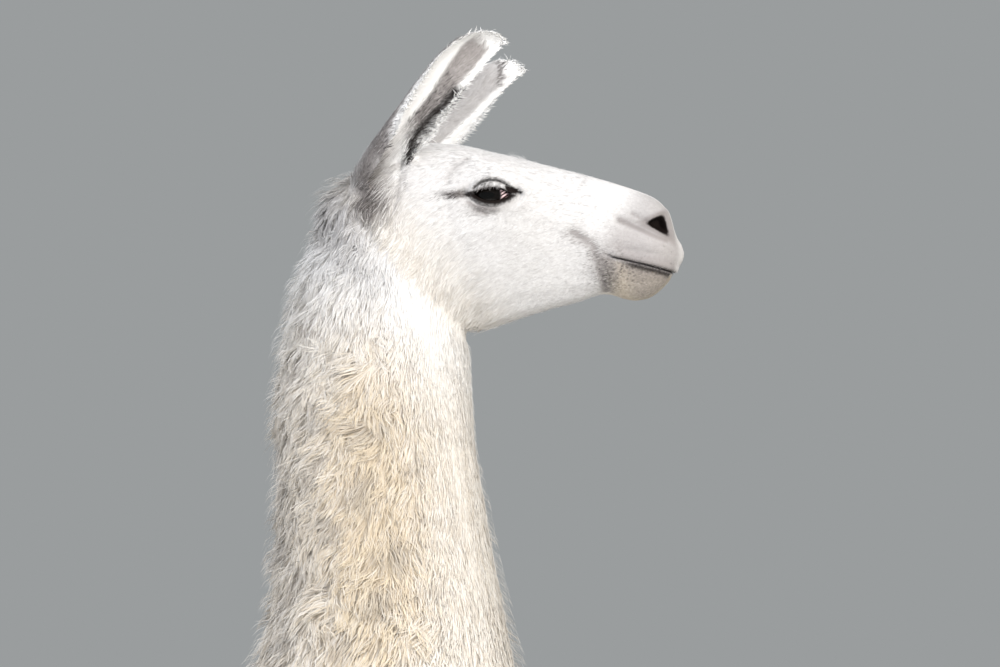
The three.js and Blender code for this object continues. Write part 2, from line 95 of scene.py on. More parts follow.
# Creases of the face: how wide, deep and grey each is, and its path of (x, z) places in the
# side view. The grey along each is painted shade in the crease, partly dark hair.
FOLDS = {
    "mouth corner": (4.4, 0.8, 0.9, ((186, 1592), (205, 1580), (210, 1562), (215, 1547), (218, 1534))),
    "brow": (2.8, 0.9, 0.45, ((63, 1641), (65, 1651), (71, 1658), (81, 1664))),
    "ear front": (1.8, 1.4, 0.45, ((23, 1666), (18, 1650), (19, 1634))),
    "ear root": (2.2, 1.6, 0.4, ((13, 1661), (14, 1644), (12, 1626), (9, 1610))),
    "under the eye": (2.8, 0.5, 0.85, ((83, 1620), (92, 1615), (101, 1609))),
    "behind the nostril": (3.0, 1.2, 0.8, ((244, 1611), (251, 1606), (258, 1603))),
    "below the nostril": (4.0, 1.4, 1.0, ((232, 1604), (251, 1595), (266, 1588), (278, 1584))),
    "side of the nose": (3.0, 0.9, 0.3, ((227, 1607), (234, 1600))),
    "bridge": (2.4, 0.6, 0.2, ((190, 1636), (197, 1647))),
    "cheek": (4.5, 0.5, 0.15, ((61, 1624), (66, 1609), (69, 1588))),
}
# The dark hair in an ear's hollow: how wide and dark each streak is, and its path.
EAR_STREAKS = {
    "front": (7.0, 1.0, ((21, 1663), (26, 1685), (42, 1705), (55, 1718), (68, 1733))),
    "rear": (4.0, 0.45, ((45, 1704), (52, 1726), (61, 1748))),
}
EAR_SHADE = ((-14, 1670), (-22, 1650), (-15, 1624))  # the grey below and behind each ear, partly grey hair and partly painted shadow
NAPE = (-52, 1642)  # the line that parts the head from the neck
THROAT = (78, 1486)
EAR_LENGTH = 183
# Half the angle that the ear's wall leaves open, in radians, at places along its length.
EAR_OPENING = ((-0.05, 0.1, 0.27, 0.45, 0.63, 0.8, 1), (0.5, 0.7, 1.1, 1.5, 1.8, 1.95, 2.1))
EAR_ROOT_Y = 43
EAR_SPLAY = 0.1
EARS = {
    "right": {"side": -1, "x": -13, "z": 1653, "pitch": 0.76, "turn": 0.8},
    "left": {"side": 1, "x": -11, "z": 1644, "pitch": 0.85, "turn": 0.9},
}
SIDES = {"left": 1, "right": -1}

SEAM = 0.6  # the flesh is swollen by this much before it is joined, which closes the cuts between parts
VOXEL = 2.5
SKIN_TRIANGLES = 115000  # about how many the skin keeps, before the folds are refined
PUFF = {"size": 26, "deep": 5}  # the wool's soft swellings
UV_PATCH = 0.003  # a lock's patch on the unwrap of the skin
PIECE_TRIANGLES = 190000  # the most that one piece of the coat holds
SOLE = 0.4  # the skin's soles are this far over the floor
LOWEST = 0.5  # and no lock reaches lower than this

FLESH = [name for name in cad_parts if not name.startswith(("eye_", "nail_"))]
EYES = {
    side: sum(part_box("eye_" + side), Vector()) / 2
    for side in SIDES
}
ORIGIN = np.array((CAD_BOX[1].x - LIPS_X * MM, 0, 0))

# How the coat grows on each region, in millimetres: how far its tips stand off the skin, how long and
# wide a lock is, how far apart the locks grow, how far they wave, and how wide a clump of them is.
# lean is how far a clump turns aside, in radians, pull how far its tips draw together, and flat how much
# its shading follows the skin under it.
REGIONS = ("face", "cheek", "nape", "throat", "back", "thigh", "shank", "foot", "ear", "rim", "tail")
TRAITS = ("height", "length", "width", "apart", "wave", "clump", "lean", "pull", "flat")
GROWTH = {
    "face": (0.9, 7, 0.8, 2.3, 0.15, 6, 0.06, 0.05, 0.93),
    "cheek": (3.0, 17, 0.9, 2.2, 0.8, 9, 0.2, 0.3, 0.88),
    "nape": (10, 24, 0.95, 2.1, 2.0, 9, 0.5, 0.4, 0.91),
    "throat": (1.5, 14, 1.0, 2.2, 0.6, 9, 0.1, 0.15, 0.96),
    "back": (20, 58, 4.9, 7.2, 5, 25, 0.35, 0.45, 0.86),
    "thigh": (11, 34, 3.4, 5.6, 3, 18, 0.22, 0.4, 0.85),
    "shank": (2.4, 15, 2.0, 6.2, 0.5, 12, 0.12, 0.2, 0.9),
    "foot": (1.6, 9, 1.8, 5.4, 0.4, 9, 0.12, 0.2, 0.88),
    "ear": (1.0, 8, 0.8, 2.4, 0.3, 7, 0.12, 0.2, 0.78),
    "rim": (2, 8, 0.7, 1.6, 0.5, 5, 0.2, 0.3, 0.1),
    "tail": (15, 56, 3.4, 4.8, 4, 20, 0.22, 0.45, 0.85),
}

TUFTS = {  # places where the hair stands up: the middle, how wide, and how much higher and longer
    "brow": {"at": (134, 0, 1675), "wide": 9, "higher": 6, "longer": 3},
    "poll": {"at": (-40, 0, 1640), "wide": 26, "higher": 7, "longer": 5},
}

# A lock's shapes: places along it from root to tip and how wide it is there; the tip itself is a point.
LOCKS = {
    "short": ((0.0, 0.8), (0.55, 1.0)),
    "plain": ((0.0, 0.7), (0.35, 1.0), (0.7, 0.66)),
    "curly": ((0.0, 0.6), (0.28, 1.0), (0.56, 0.9), (0.8, 0.6)),
}
GUARD = {"share": 0.2, "width": 0.6, "height": 2.0, "pull": 0.2}  # the guard hairs beside other locks
RING = ((-0.5, -0.04), (0.5, -0.04), (0.0, 0.14))  # round a lock: across, and out, as shares of its width
SUNK = 0.4  # how deep a lock's root sits in the skin
WAVE_TURN = 5.2  # how far a lock's wave turns from root to tip, in radians

NECK_AIM = (110, 0, 1493.5)  # what the camera looks at, in the body's millimetres
BODY_AIM = (0, 0, 0.9)  # the middle of the whole animal, in metres
FLOOR_RADIUS = 14
# The lights: what each is aimed at, where it stands from there in metres, how wide it is, its share of
# the key light's power, and its colour.
LIGHTS = {
    "key": ("neck", (2.5, -3.1, 2.1), 2.2, 1.0, "fffaf2"),
    "glint": ("neck", (2.5, -3.1, 2.1), 0.5, 0.05, "ffffff"),
    "top": ("body", (0, 0, 3.4), 4.0, 0.5, "f4f7ff"),
    "fill": ("neck", (0.7, -4.5, 1.0), 3.0, 0.66, "eef3ff"),
    "side": ("neck", (-3.3, -2.9, 1.2), 2.4, 0.42, "f4f6ff"),
    "rim": ("neck", (-1.5, 3.4, 1.8), 1.5, 0.15, "f4f7ff"),
}

# ---- small tools ----


def ease(value, low, high):
    """0 below low, 1 above high, and smooth between them."""
    share = np.clip((value - low) / (high - low), 0, 1)
    return share * share * (3 - 2 * share)


def hill(value, reach):
    """1 where value is 0, falling smoothly to nothing a few times reach away."""
    return np.exp(-((value / reach) ** 2))


def unit(vectors):
    return vectors / np.maximum(np.linalg.norm(vectors, axis=1, keepdims=True), 1e-9)


def dot(a, b):
    return np.sum(a * b, axis=1, keepdims=True)


def read(collection, field, width, kind=np.float32):
    """One field of a mesh's vertices, edges or loops as an array of rows."""
    values = np.empty(len(collection) * width, kind)
    collection.foreach_get(field, values)
    return values.reshape(-1, width)


def spread(values, edges, rounds, share=0.5):
    """Smooths values over a mesh: each round moves a vertex's value towards its neighbours' mean."""
    count = len(values)
    neighbours = np.maximum(np.bincount(edges.ravel(), minlength=count), 1)
    share = np.broadcast_to(share, count)
    for _ in range(rounds):
        for column in range(values.shape[1]):
            now = values[:, column]
            total = np.bincount(edges[:, 0], weights=now[edges[:, 1]], minlength=count)
            total += np.bincount(edges[:, 1], weights=now[edges[:, 0]], minlength=count)
            values[:, column] = now + share * (total / neighbours - now)
    return values


def place(obj):
    """Puts a finished piece in the scene, where it rides with the body."""
    bpy.context.scene.collection.objects.link(obj)
    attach(obj, "root")
    return obj


def write_attribute(mesh, name, values, kind="FLOAT_COLOR"):
    layer = mesh.attributes.new(name, kind, "POINT")
    layer.data.foreach_set("color" if kind == "FLOAT_COLOR" else "value", values.astype(np.float32).ravel())


# ---- the body's own coordinates ----


def to_local(points):
    """Metres in the frame to millimetres from the neck's middle line."""
    return (points - ORIGIN) / MM


def behind_head(local):
    """How far a point lies behind the line between head and neck, in millimetres."""
    along = np.array(THROAT, float) - np.array(NAPE)
    along /= np.linalg.norm(along)
    return (local[:, 0] - NAPE[0]) * along[1] - (local[:, 2] - NAPE[1]) * along[0]


def eye_plane(local):
    """Forward, up and outward of a point from the eyeball's centre on its own side."""
    forward = local[:, 0] - EYE_PLACE[0]
    up = local[:, 2] - EYE_PLACE[2]
    outward = np.abs(local[:, 1]) - EYE_PLACE[1]
    return forward, up, outward


def off_lids(forward, up):
    """How far a point is outside the slit between the lids in the side view; below 0 is inside it."""
    s = forward - LID_OUTLINE["s"]
    t = up - LID_OUTLINE["t"]
    half = LID_OUTLINE["half"]
    gaps = []
    for reach, way in ((LID_OUTLINE["above"], 1), (LID_OUTLINE["below"], -1)):
        radius = (half**2 + reach**2) / (2 * reach)
        gaps.append(np.hypot(s, way * t + radius - reach) - radius)
    return np.maximum(*gaps)


def lid_arch(forward):
    """How far outside the slit the upper lid's crease runs."""
    return 7.6 - 3.2 * ((forward - LID_OUTLINE["s"]) / 18) ** 2


def off_nostril(local):
    """How far a point is outside the three-cornered nostril, with its rounded corners, in the side view."""
    s = local[:, 0] - NOSTRIL["s"]
    t = local[:, 2] - NOSTRIL["t"]
    corners = np.array(NOSTRIL_CORNERS, float)
    rounding = 2.1
    total = np.zeros(len(local))
    for i in range(3):
        a, b = corners[i], corners[(i + 1) % 3]
        edge = (b - a) / np.linalg.norm(b - a)
        total += np.exp(np.clip((s - a[0]) * -edge[1] + (t - a[1]) * edge[0], -60, 60) / rounding)
    return rounding * np.log(total)


def off_path(local, path):
    """How far each point is from a path in the side view, and how far along the path it lies, 0 to 1."""
    nearest = np.full(len(local), 1e6)
    along = np.zeros(len(local))
    place_on = local[:, [0, 2]]
    for i, (a, b) in enumerate(zip(path, path[1:])):
        a, b = np.array(a, float), np.array(b, float)
        t = np.clip((place_on - a) @ (b - a) / np.dot(b - a, b - a), 0, 1)
        gap = np.linalg.norm(place_on - a - t[:, None] * (b - a), axis=1)
        along = np.where(gap < nearest, (i + t) / (len(path) - 1), along)
        nearest = np.minimum(nearest, gap)
    return nearest, along


def above_mouth(local):
    """How far a point is above the mouth's line, and how far in front of its corner."""
    run = MOUTH_FRONT[0] - MOUTH_CORNER[0]
    drop = (MOUTH_FRONT[1] - MOUTH_CORNER[1]) / run
    ahead = local[:, 0] - MOUTH_CORNER[0]
    return local[:, 2] - MOUTH_CORNER[1] - ahead * drop, ahead


def ear_place(local, ear):
    """A point on an ear: its share of the length, its place round the wall from -1 to 1, the way out
    from the ear's axis, and its distance from that axis."""
    side = ear["side"]
    moved = local - np.array((ear["x"], side * EAR_ROOT_Y, ear["z"]))
    back = (Matrix.Rotation(ear["pitch"], 3, "Y") @ Matrix.Rotation(-side * EAR_SPLAY, 3, "X")).inverted()
    own = moved @ np.array(back).T
    middle = math.pi + side * ear["turn"]
    angle = np.arctan2(own[:, 1], own[:, 0]) - middle
    angle = (angle + math.pi) % (2 * math.pi) - math.pi
    along = own[:, 2] / EAR_LENGTH
    radius = np.hypot(own[:, 0], own[:, 1])
    share = angle / (math.pi - np.interp(along, *EAR_OPENING))
    out = np.stack((own[:, 0], own[:, 1], np.zeros(len(own))), axis=1)
    forward = np.array(back.inverted())
    return along, share, unit(out) @ forward.T, radius, forward


# ---- the skin ----


def gather_flesh():
    """All the flesh as one set of overlapping closed forms, with eye sockets and nostrils plugged."""
    whole = bmesh.new()
    for name in FLESH:
        part = bmesh.new()
        part.from_mesh(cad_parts[name].data)
        bmesh.ops.remove_doubles(part, verts=part.verts, dist=1e-5)
        part.normal_update()
        swell = SEAM * (1.6 if name == "head" else 1) * MM
        for vert in part.verts:
            vert.co += vert.normal * swell
        copy = bpy.data.meshes.new("copy")
        part.to_mesh(copy)
        whole.from_mesh(copy)
        part.free()
        bpy.data.meshes.remove(copy)
    for side, sign in SIDES.items():
        plug = Matrix.Translation(EYES[side])
        bmesh.ops.create_icosphere(whole, subdivisions=4, radius=(EYE_RADIUS + 1.5) * MM, matrix=plug)
        for x, y, z, radius in NOSTRIL_PLUGS:
            plug = Matrix.Translation(Vector(ORIGIN) + Vector((x, sign * y, z)) * MM)
            bmesh.ops.create_icosphere(whole, subdivisions=3, radius=radius * MM, matrix=plug)
    mesh = bpy.data.meshes.new("flesh")
    whole.to_mesh(mesh)
    whole.free()
    return mesh


def evaluated(obj):
    """A new mesh of an object with its modifiers applied."""
    graph = bpy.context.evaluated_depsgraph_get()
    return bpy.data.meshes.new_from_object(obj.evaluated_get(graph))


def join_flesh():
    """One closed surface round all the flesh: remeshed, smoothed, and thinned where wool covers it."""
    obj = bpy.data.objects.new("flesh", gather_flesh())
    bpy.context.scene.collection.objects.link(obj)
    remesh = obj.modifiers.new("one surface", "REMESH")
    remesh.mode = "VOXEL"
    remesh.voxel_size = VOXEL * MM
    mesh = evaluated(obj)
    obj.modifiers.clear()
    obj.data = mesh
    points = read(mesh.vertices, "co", 3).astype(float)
    edges = read(mesh.edges, "vertices", 2, np.int32)
    local = to_local(points)
    woolly = ease(behind_head(local), -20, 30)
    ears = np.zeros(len(local))
    for ear in EARS.values():
        along, _, _, radius, _ = ear_place(local, ear)
        ears = np.maximum(ears, ease(along, 0.12, 0.25) * (1 - ease(radius, 40, 55)))
    woolly *= 1 - ears
    feet = 1 - ease(local[:, 2], 90, 150)
    share = 0.32 + 0.3 * woolly - 0.24 * ears - 0.2 * feet
    points = spread(points, edges, 12, share)
    mesh.vertices.foreach_set("co", points.astype(np.float32).ravel())
    mesh.update()
    thin = obj.vertex_groups.new(name="thin")
    for weight, low, high in ((0.25, 0.25, 0.7), (1, 0.7, 2)):
        mask = woolly * (1 - feet * 0.6)
        chosen = np.nonzero((mask >= low) & (mask < high))[0]
        thin.add(chosen.tolist(), weight, "REPLACE")
    decimate = obj.modifiers.new("thin", "DECIMATE")
    triangles = 2 * len(mesh.polygons)
    decimate.ratio = min(1, SKIN_TRIANGLES / triangles)
    decimate.vertex_group = "thin"
    result = evaluated(obj)
    bpy.data.objects.remove(obj)
    bpy.data.meshes.remove(mesh)
    return result


def refine(mesh):
    """Adds vertices where the folds are fine: round the eyes, the nostrils and the mouth."""
    made = bmesh.new()
    made.from_mesh(mesh)
    bmesh.ops.triangulate(made, faces=made.faces)
    for eye, nostril, mouth in ((25, 11, 7), (21, 7, 4)):  # how far round each, in two rounds
        local = to_local(np.array([edge.verts[0].co for edge in made.edges]))
        forward, up, outward = eye_plane(local)
        near = (np.hypot(forward, up) < eye) & (outward > 0)
        near |= (off_nostril(local) < nostril) & (local[:, 0] > MUZZLE_X + 5)
        above, ahead = above_mouth(local)
        near |= (np.abs(above) < mouth) & (ahead > -8)
        made.edges.ensure_lookup_table()
        chosen = [made.edges[i] for i in np.nonzero(near)[0]]
        bmesh.ops.subdivide_edges(made, edges=chosen, cuts=1, use_grid_fill=True)
        bmesh.ops.triangulate(made, faces=[face for face in made.faces if len(face.verts) > 3])
    made.to_mesh(mesh)
    made.free()


def kind_of(node):
    """The kind of solid, from its node's name: a fore or hind leg is a leg."""
    return node.replace("fore_", "").replace("hind_", "").split("_")[0]


def nearest_solids(points):
    """How much each point belongs to each kind of solid: 1 for the one that it lies on, by kind."""
    kinds = ("head", "neck", "trunk", "tail", "ear", "leg", "foot")
    corners, faces, owner = [], [], []
    for name in FLESH:
        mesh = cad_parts[name].data
        start = len(corners)
        corners.extend(vert.co for vert in mesh.vertices)
        faces.extend([start + i for i in face.vertices] for face in mesh.polygons)
        owner.extend([kinds.index(kind_of(name))] * len(mesh.polygons))
    tree = BVHTree.FromPolygons(corners, faces)
    found = [owner[tree.find_nearest(point)[2]] for point in points]
    share = np.zeros((len(points), len(kinds)))
    share[np.arange(len(points)), found] = 1
    return kinds, share


def region_shares(local, normals, edges, points):
    """How much each vertex belongs to each region of the coat, as one column a region."""
    kinds, share = nearest_solids(points)
    share = spread(share, edges, 6)
    body = ease(local[:, 2], 600, 750) * (1 - ease(local[:, 2], 1060, 1180))
    share = spread(share, edges, 24, 0.5 * body)
    part = dict(zip(kinds, share.T))
    front = ease(normals[:, 0] + 0.35 * ease(local[:, 2], 1380, 1520), 0.15, 0.8)
    upper = ease(local[:, 2], 420, 620)
    cheek = ease(behind_head(local), -75, -15)
    edge = np.zeros(len(local))
    for ear in EARS.values():
        along, place_round, _, radius, _ = ear_place(local, ear)
        near = (radius < 45) & (along > 0.05) & (np.sign(local[:, 1]) == ear["side"])
        rim = ease(np.abs(place_round), 0.8, 0.97) * ease(along, 0.12, 0.3)
        rim = np.maximum(rim, ease(along, 0.9, 0.98))
        edge = np.where(near, rim, edge)
    columns = {
        "face": part["head"] * (1 - cheek),
        "cheek": part["head"] * cheek,
        "nape": part["neck"] * (1 - front),
        "throat": part["neck"] * front,
        "back": part["trunk"],
        "thigh": part["leg"] * upper,
        "shank": part["leg"] * (1 - upper),
        "foot": part["foot"],
        "ear": part["ear"] * (1 - edge),
        "rim": part["ear"] * edge,
        "tail": part["tail"],
    }
    return np.stack([columns[name] for name in REGIONS], axis=1)


def grown(shares, key):
    """A growth size at each point, blended between the regions."""
    return shares @ np.array([GROWTH[name][TRAITS.index(key)] for name in REGIONS])


def coat_height(local, shares):
    """How far the coat stands off the skin: the wool grows up gradually behind the head."""
    collar = 0.3 + 0.7 * ease(behind_head(local), 0, 85)
    woolly = shares[:, REGIONS.index("nape")]
    return grown(shares, "height") * (1 - woolly * (1 - collar))


def lie_of_coat(local, normals, shares):
    """The way the hair lies at each vertex, along the surface from root to tip."""
    side = np.sign(local[:, 1] + 1e-6)
    ones = np.ones(len(local))
    zero = np.zeros(len(local))
    ways = {
        "face": (-ones, zero, -0.25 - 0.35 * ease(local[:, 0], 200, 60)),
        "cheek": (-0.5 * ones, 0.1 * side, -ones),
        "nape": (-0.22 * ones, 0.12 * side, -ones),
        "throat": (zero, 0.15 * side, -ones),
        "back": (-0.55 * ones, 0.35 * side, -ones),
        "thigh": (-0.3 * ones, zero, -ones),
        "shank": (-0.1 * ones, zero, -ones),
        "foot": (0.5 * ones, zero, -ones),
        "tail": (-0.1 * ones, 0.25 * side, -ones),
    }
    lie = np.zeros((len(local), 3))
    for name, way in ways.items():
        lie += shares[:, [REGIONS.index(name)]] * unit(np.stack(way, axis=1))
    for ear in EARS.values():
        mine = (side == ear["side"]) * (shares[:, REGIONS.index("ear")] + shares[:, REGIONS.index("rim")])
        _, place_round, out, _, turn = ear_place(local, ear)
        axis = np.array((0, 0, 1.0)) @ turn.T
        round_way = np.cross(axis, out) * np.sign(place_round)[:, None]
        rim = shares[:, [REGIONS.index("rim")]]
        lie += mine[:, None] * unit(axis + round_way * (0.15 + 1.1 * rim))
    lie -= dot(lie, normals) * normals
    return unit(lie)


def sculpt_eyes(local):
    """Lids that close on the eyeball, with their creases, corners and the folds round them."""
    forward, up, outward = eye_plane(local)
    near = (np.hypot(forward, up) < 42) & (outward > -4) & (local[:, 0] < 150)
    off = off_lids(forward, up)
    step = 0.05
    to_s = (off_lids(forward + step, up) - off) / step
    to_t = (off_lids(forward, up + step) - off) / step
    snapped = near & (np.abs(off) < 0.34)
    forward = np.where(snapped, forward - off * to_s, forward)
    up = np.where(snapped, up - off * to_t, up)
    off = np.where(snapped, 0, off)
    reach = np.hypot(forward, up)
    ball = np.sqrt(np.maximum(EYE_RADIUS**2 - reach**2, 0))
    lid = np.sqrt(LID["radius"] ** 2 - np.minimum(LID["flat"] * reach, 22) ** 2)
    sits = 1 - ease(off, 3.5, 13)
    above = ease(up - LID_OUTLINE["t"], -1, 2)
    short = 1 - ease(np.abs(forward - 1), 15, 22)
    arch = lid_arch(forward)
    crease = hill(off - arch, 1.4) * above * short
    fold = hill(off - arch - 3.2, 2.4) * above * (1 - ease(np.abs(forward), 16, 26))
    plate = hill(off - 0.5 * arch, 2.4) * above
    below = 1 - above
    under = hill(off - 6.4, 1.2) * below * (1 - ease(np.abs(forward + 4), 9, 17))
    bag = hill(off - 9, 2.4) * below * (1 - ease(np.abs(forward + 3), 14, 22))
    line = hill(off - 13, 1.4) * below * (1 - ease(np.abs(forward + 7), 9, 17))
    folds = 1.8 * fold + 0.9 * plate - 2.4 * crease - 1.2 * under + 0.7 * bag - 0.8 * line
    behind = -(forward + 17)
    for slope, drop in ((0.18, 1.0), (-0.15, 0.9), (-0.5, 0.7)):
        ray = hill(up - 2 - slope * behind, 0.9) * ease(behind, 0, 5) * (1 - ease(behind, 12, 22))
        folds -= drop * ray
    tear = hill(np.hypot((forward - 24) / 2.2, up - 4.8 + 0.3 * (forward - 24)), 2.4)
    folds -= 2.2 * tear
    skin = outward + (lid - outward) * sits
    edge = lid - 0.9 * ease(-off, -0.9, 0)
    skin = np.where(off < 0.9, np.minimum(skin, edge), skin)
    wall = ease(-off, 0.0, 1.1)
    skin = np.where(off < 0, edge * (1 - wall) + (ball - 3) * wall, skin + folds)
    side = np.sign(local[:, 1])
    local[near, 0] = (EYE_PLACE[0] + forward)[near]
    local[near, 2] = (EYE_PLACE[2] + up)[near]
    local[near, 1] = (side * (EYE_PLACE[1] + skin))[near]


def sculpt_muzzle(local, normals):
    """Nostrils with a raised wing, the closed mouth under an overhanging lip, the cleft and the folds."""
    side = np.sign(local[:, 1])
    ahead = local[:, 0] > MUZZLE_X
    off = off_nostril(local)
    s = local[:, 0] - NOSTRIL["s"]
    t = local[:, 2] - NOSTRIL["t"]
    pit = 11 * ease(-off, -0.4, 3.2)
    wing = 1.6 * hill(off - 3, 2.6) * ease(t + 0.8 * s, -6, 4)
    behind = hill(t - 2.5 - 0.15 * (s + 16), 1.6) * ease(-s, 10, 14) * (1 - ease(-s, 20, 27))
    inward = np.stack((-0.35 + 0 * s, -side * 0.9, 0.1 + 0 * s), axis=1)
    flank = (ahead & (np.abs(local[:, 1]) > 6))[:, None]
    moved = inward * pit[:, None] + normals * (wing - 1.3 * behind)[:, None]
    local += np.where(flank & (off < 14)[:, None], moved, 0)
    above, front = above_mouth(local)
    open_here = ease(front, -3, 5)
    groove = 3.2 * hill(above, 0.95) * open_here
    corner = 1.2 * hill(above, 2.2) * hill(front + 2, 6)
    upper_lip = 1.5 * hill(above - 4, 3.2) * open_here
    lower_lip = -0.8 * hill(above + 3.4, 2.4) * open_here
    lip_fold = -0.9 * hill(above - 9 - 0.1 * front, 1.8) * ease(front, 2, 14) * (1 - ease(front, 40, 60))
    cleft = -2.4 * hill(local[:, 1], 1.5) * ease(front, 50, 66)
    cleft *= ease(above, 1, 4) * (1 - ease(above, 22, 30))
    out = np.where(local[:, 0] > 150, upper_lip + lower_lip + lip_fold + cleft - groove - corner, 0)
    for wide, deep, _, path in FOLDS.values():
        gap, _ = off_path(local, path)
        out -= deep * hill(gap, wide) * (np.abs(local[:, 1]) > FLANK_Y)
    local += normals * out[:, None]


SKIN = {}  # the finished skin's arrays, which every coat piece grows on


def make_skin():
    """The skin: smoothed, shared out between the regions, set in by the coat's depth, and sculpted."""
    mesh = join_flesh()
    refine(mesh)
    mesh.update()
    edges = read(mesh.edges, "vertices", 2, np.int32)
    points = read(mesh.vertices, "co", 3).astype(float)
    local = to_local(points)
    normals = read(mesh.vertex_normals, "vector", 3).astype(float)
    woolly = ease(behind_head(local), -40, 40) * ease(local[:, 2], 110, 200)
    normals = unit(spread(normals, edges, 10, 0.1 + 0.5 * woolly))
    shares = region_shares(local, normals, edges, points)
    body = sum(shares[:, REGIONS.index(name)] for name in ("nape", "back", "thigh"))
    points = spread(points, edges, 6, 0.5 * body)
    height = coat_height(local, shares)
    puffs = PUFF["deep"] * body * [noise.noise(Vector(p) / (PUFF["size"] * MM)) for p in points.tolist()]
    local = to_local(points - normals * (height - puffs)[:, None] * MM)
    lie = lie_of_coat(local, normals, shares)
    sculpt_eyes(local)
    sculpt_muzzle(local, normals)
    local[:, 2] = np.maximum(local[:, 2], SOLE)
    points = local * MM + ORIGIN
    mesh.vertices.foreach_set("co", points.astype(np.float32).ravel())
    mesh.name = "skin"
    mesh.update()
    normals = unit(spread(read(mesh.vertex_normals, "vector", 3).astype(float), edges, 2))
    for name in list(mesh.attributes.keys()):
        if name in ("thin", "sharp_face"):  # left over from the thinning
            mesh.attributes.remove(mesh.attributes[name])
    obj = place(bpy.data.objects.new("skin", mesh))
    unwrap(obj)
    mesh.shade_smooth()
    mesh.materials.append(skin_material())
    write_attribute(mesh, "marks", markings(local, normals, shares))
    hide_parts(*FLESH)
    SKIN.update(obj=obj, points=points, normals=normals, shares=shares, lie=lie)
    return obj


def unwrap(obj):
    """The skin's own unwrap; the locks' patches lie on it."""
    mesh = obj.data
    mesh.uv_layers.new(name="OFBake")
    bpy.ops.object.select_all(action="DESELECT")
    bpy.context.view_layer.objects.active = obj
    obj.select_set(True)
    bpy.ops.object.mode_set(mode="EDIT")
    bpy.ops.mesh.select_all(action="SELECT")
    bpy.ops.uv.smart_project(angle_limit=math.radians(66), island_margin=0.001)
    bpy.ops.object.mode_set(mode="OBJECT")
    obj.select_set(False)


# ---- markings, the same on skin and coat ----


def markings(local, normals, shares):
    """How cream, grey, bare and dark each point is; much of the grey and dark is painted shade.
    Skin and coat both read it.
    """
    part = {name: shares[:, i] for i, name in enumerate(REGIONS)}
    marks = {
        "cream": cream_wool(local, part),
        "grey": clouds(local, part),
        "bare": np.zeros(len(local)),
        "dark": eye_marks(local),
        # how far hair that lies flat is greyed, as painted shade
        "short": 0.44 * (part["face"] + part["ear"]) + 0.2 * part["cheek"],
    }
    mark_face(local, marks)
    mark_muzzle(local, marks)
    for ear in EARS.values():
        mark_ear(local, normals, part, ear, marks)
    mark_poll(local, marks)
    # painted shade: the nape's hair behind and below the ear is greyed too
    collar = 0.52 * (1 - ease(behind_head(local), 12, 75)) * ease(local[:, 2], 1450, 1590)
    short = np.maximum(marks["short"], collar * part["nape"]) + 0.12 * part["throat"]
    grey = short + (1 - short) * marks["grey"]  # painted shade: hair that lies flat is greyed to match the shade that the wool casts within itself
    return np.clip(np.stack((marks["cream"], grey, marks["bare"], marks["dark"]), axis=1), 0, 1)


def add_mark(marks, name, *values):
    """Lays some marks of one kind over those that are there; the strongest shows at each point."""
    marks[name] = np.maximum.reduce((marks[name], *values))


def cream_wool(local, part):
    """Cream comes in down the neck, most along its side, and over the body and legs."""
    deep = ease(1600 - local[:, 2] - 0.3 * local[:, 0], 20, 230)
    band = 0.35 + 0.65 * hill(local[:, 0] + 5, 55) * ease(local[:, 2], 1050, 1250)
    cream = 0.05 + 0.95 * deep * band * part["nape"] + deep * (0.2 + 0.5 * band) * part["throat"]
    cream += 0.7 * part["back"] + 0.55 * part["thigh"]
    cream += 0.35 * part["shank"] + 0.45 * part["foot"] + 0.6 * part["tail"] + 0.3 * part["cheek"]
    return cream


def clouds(local, part):
    """Soft grey places in the wool of the neck."""
    x, y, z = local.T
    deep = ease(1600 - z - 0.3 * x, 20, 230)
    wander = 1.3 * np.sin(0.05 * z + 0.04 * y)
    cloud = np.sin(0.055 * z + 0.03 * x + 0.05 * y + 1) * np.sin(0.09 * x - 0.035 * z - 0.07 * y + wander)
    return 0.36 * ease(cloud, 0.1, 0.8) * deep * part["nape"]


def mark_face(local, marks):
    """Grey in the folds of the face and round the eye, and dark behind it: painted shade in the
    creases, round the eye's socket and behind the eye, partly dark hair.
    """
    for wide, _, crease_hair_and_shade, path in FOLDS.values():
        gap, _ = off_path(local, path)
        add_mark(marks, "grey", crease_hair_and_shade * hill(gap, 1.3 * wide) * (np.abs(local[:, 1]) > FLANK_Y))
    forward, up, outward = eye_plane(local)
    behind = hill(np.hypot((forward + 33) / 16, (up - 2) / 4.2), 1)
    under = hill(np.hypot((forward + 8) / 13, (up + 13) / 6), 1)
    round_eye = hill(np.hypot(forward / 26, (up + 6) / 11), 1)
    bag = hill(off_lids(forward, up) - 8, 4) * (1 - ease(up, -8, -2))
    bag *= 1 - ease(np.abs(forward + 4), 8, 20)
    shade = np.maximum.reduce((0.95 * behind, 0.9 * under, 0.8 * bag, 0.5 * round_eye))
    outside = outward > -2
    add_mark(marks, "grey", outside * shade)
    add_mark(marks, "dark", outside * (0.7 * behind + 0.25 * under + 0.1 * bag))


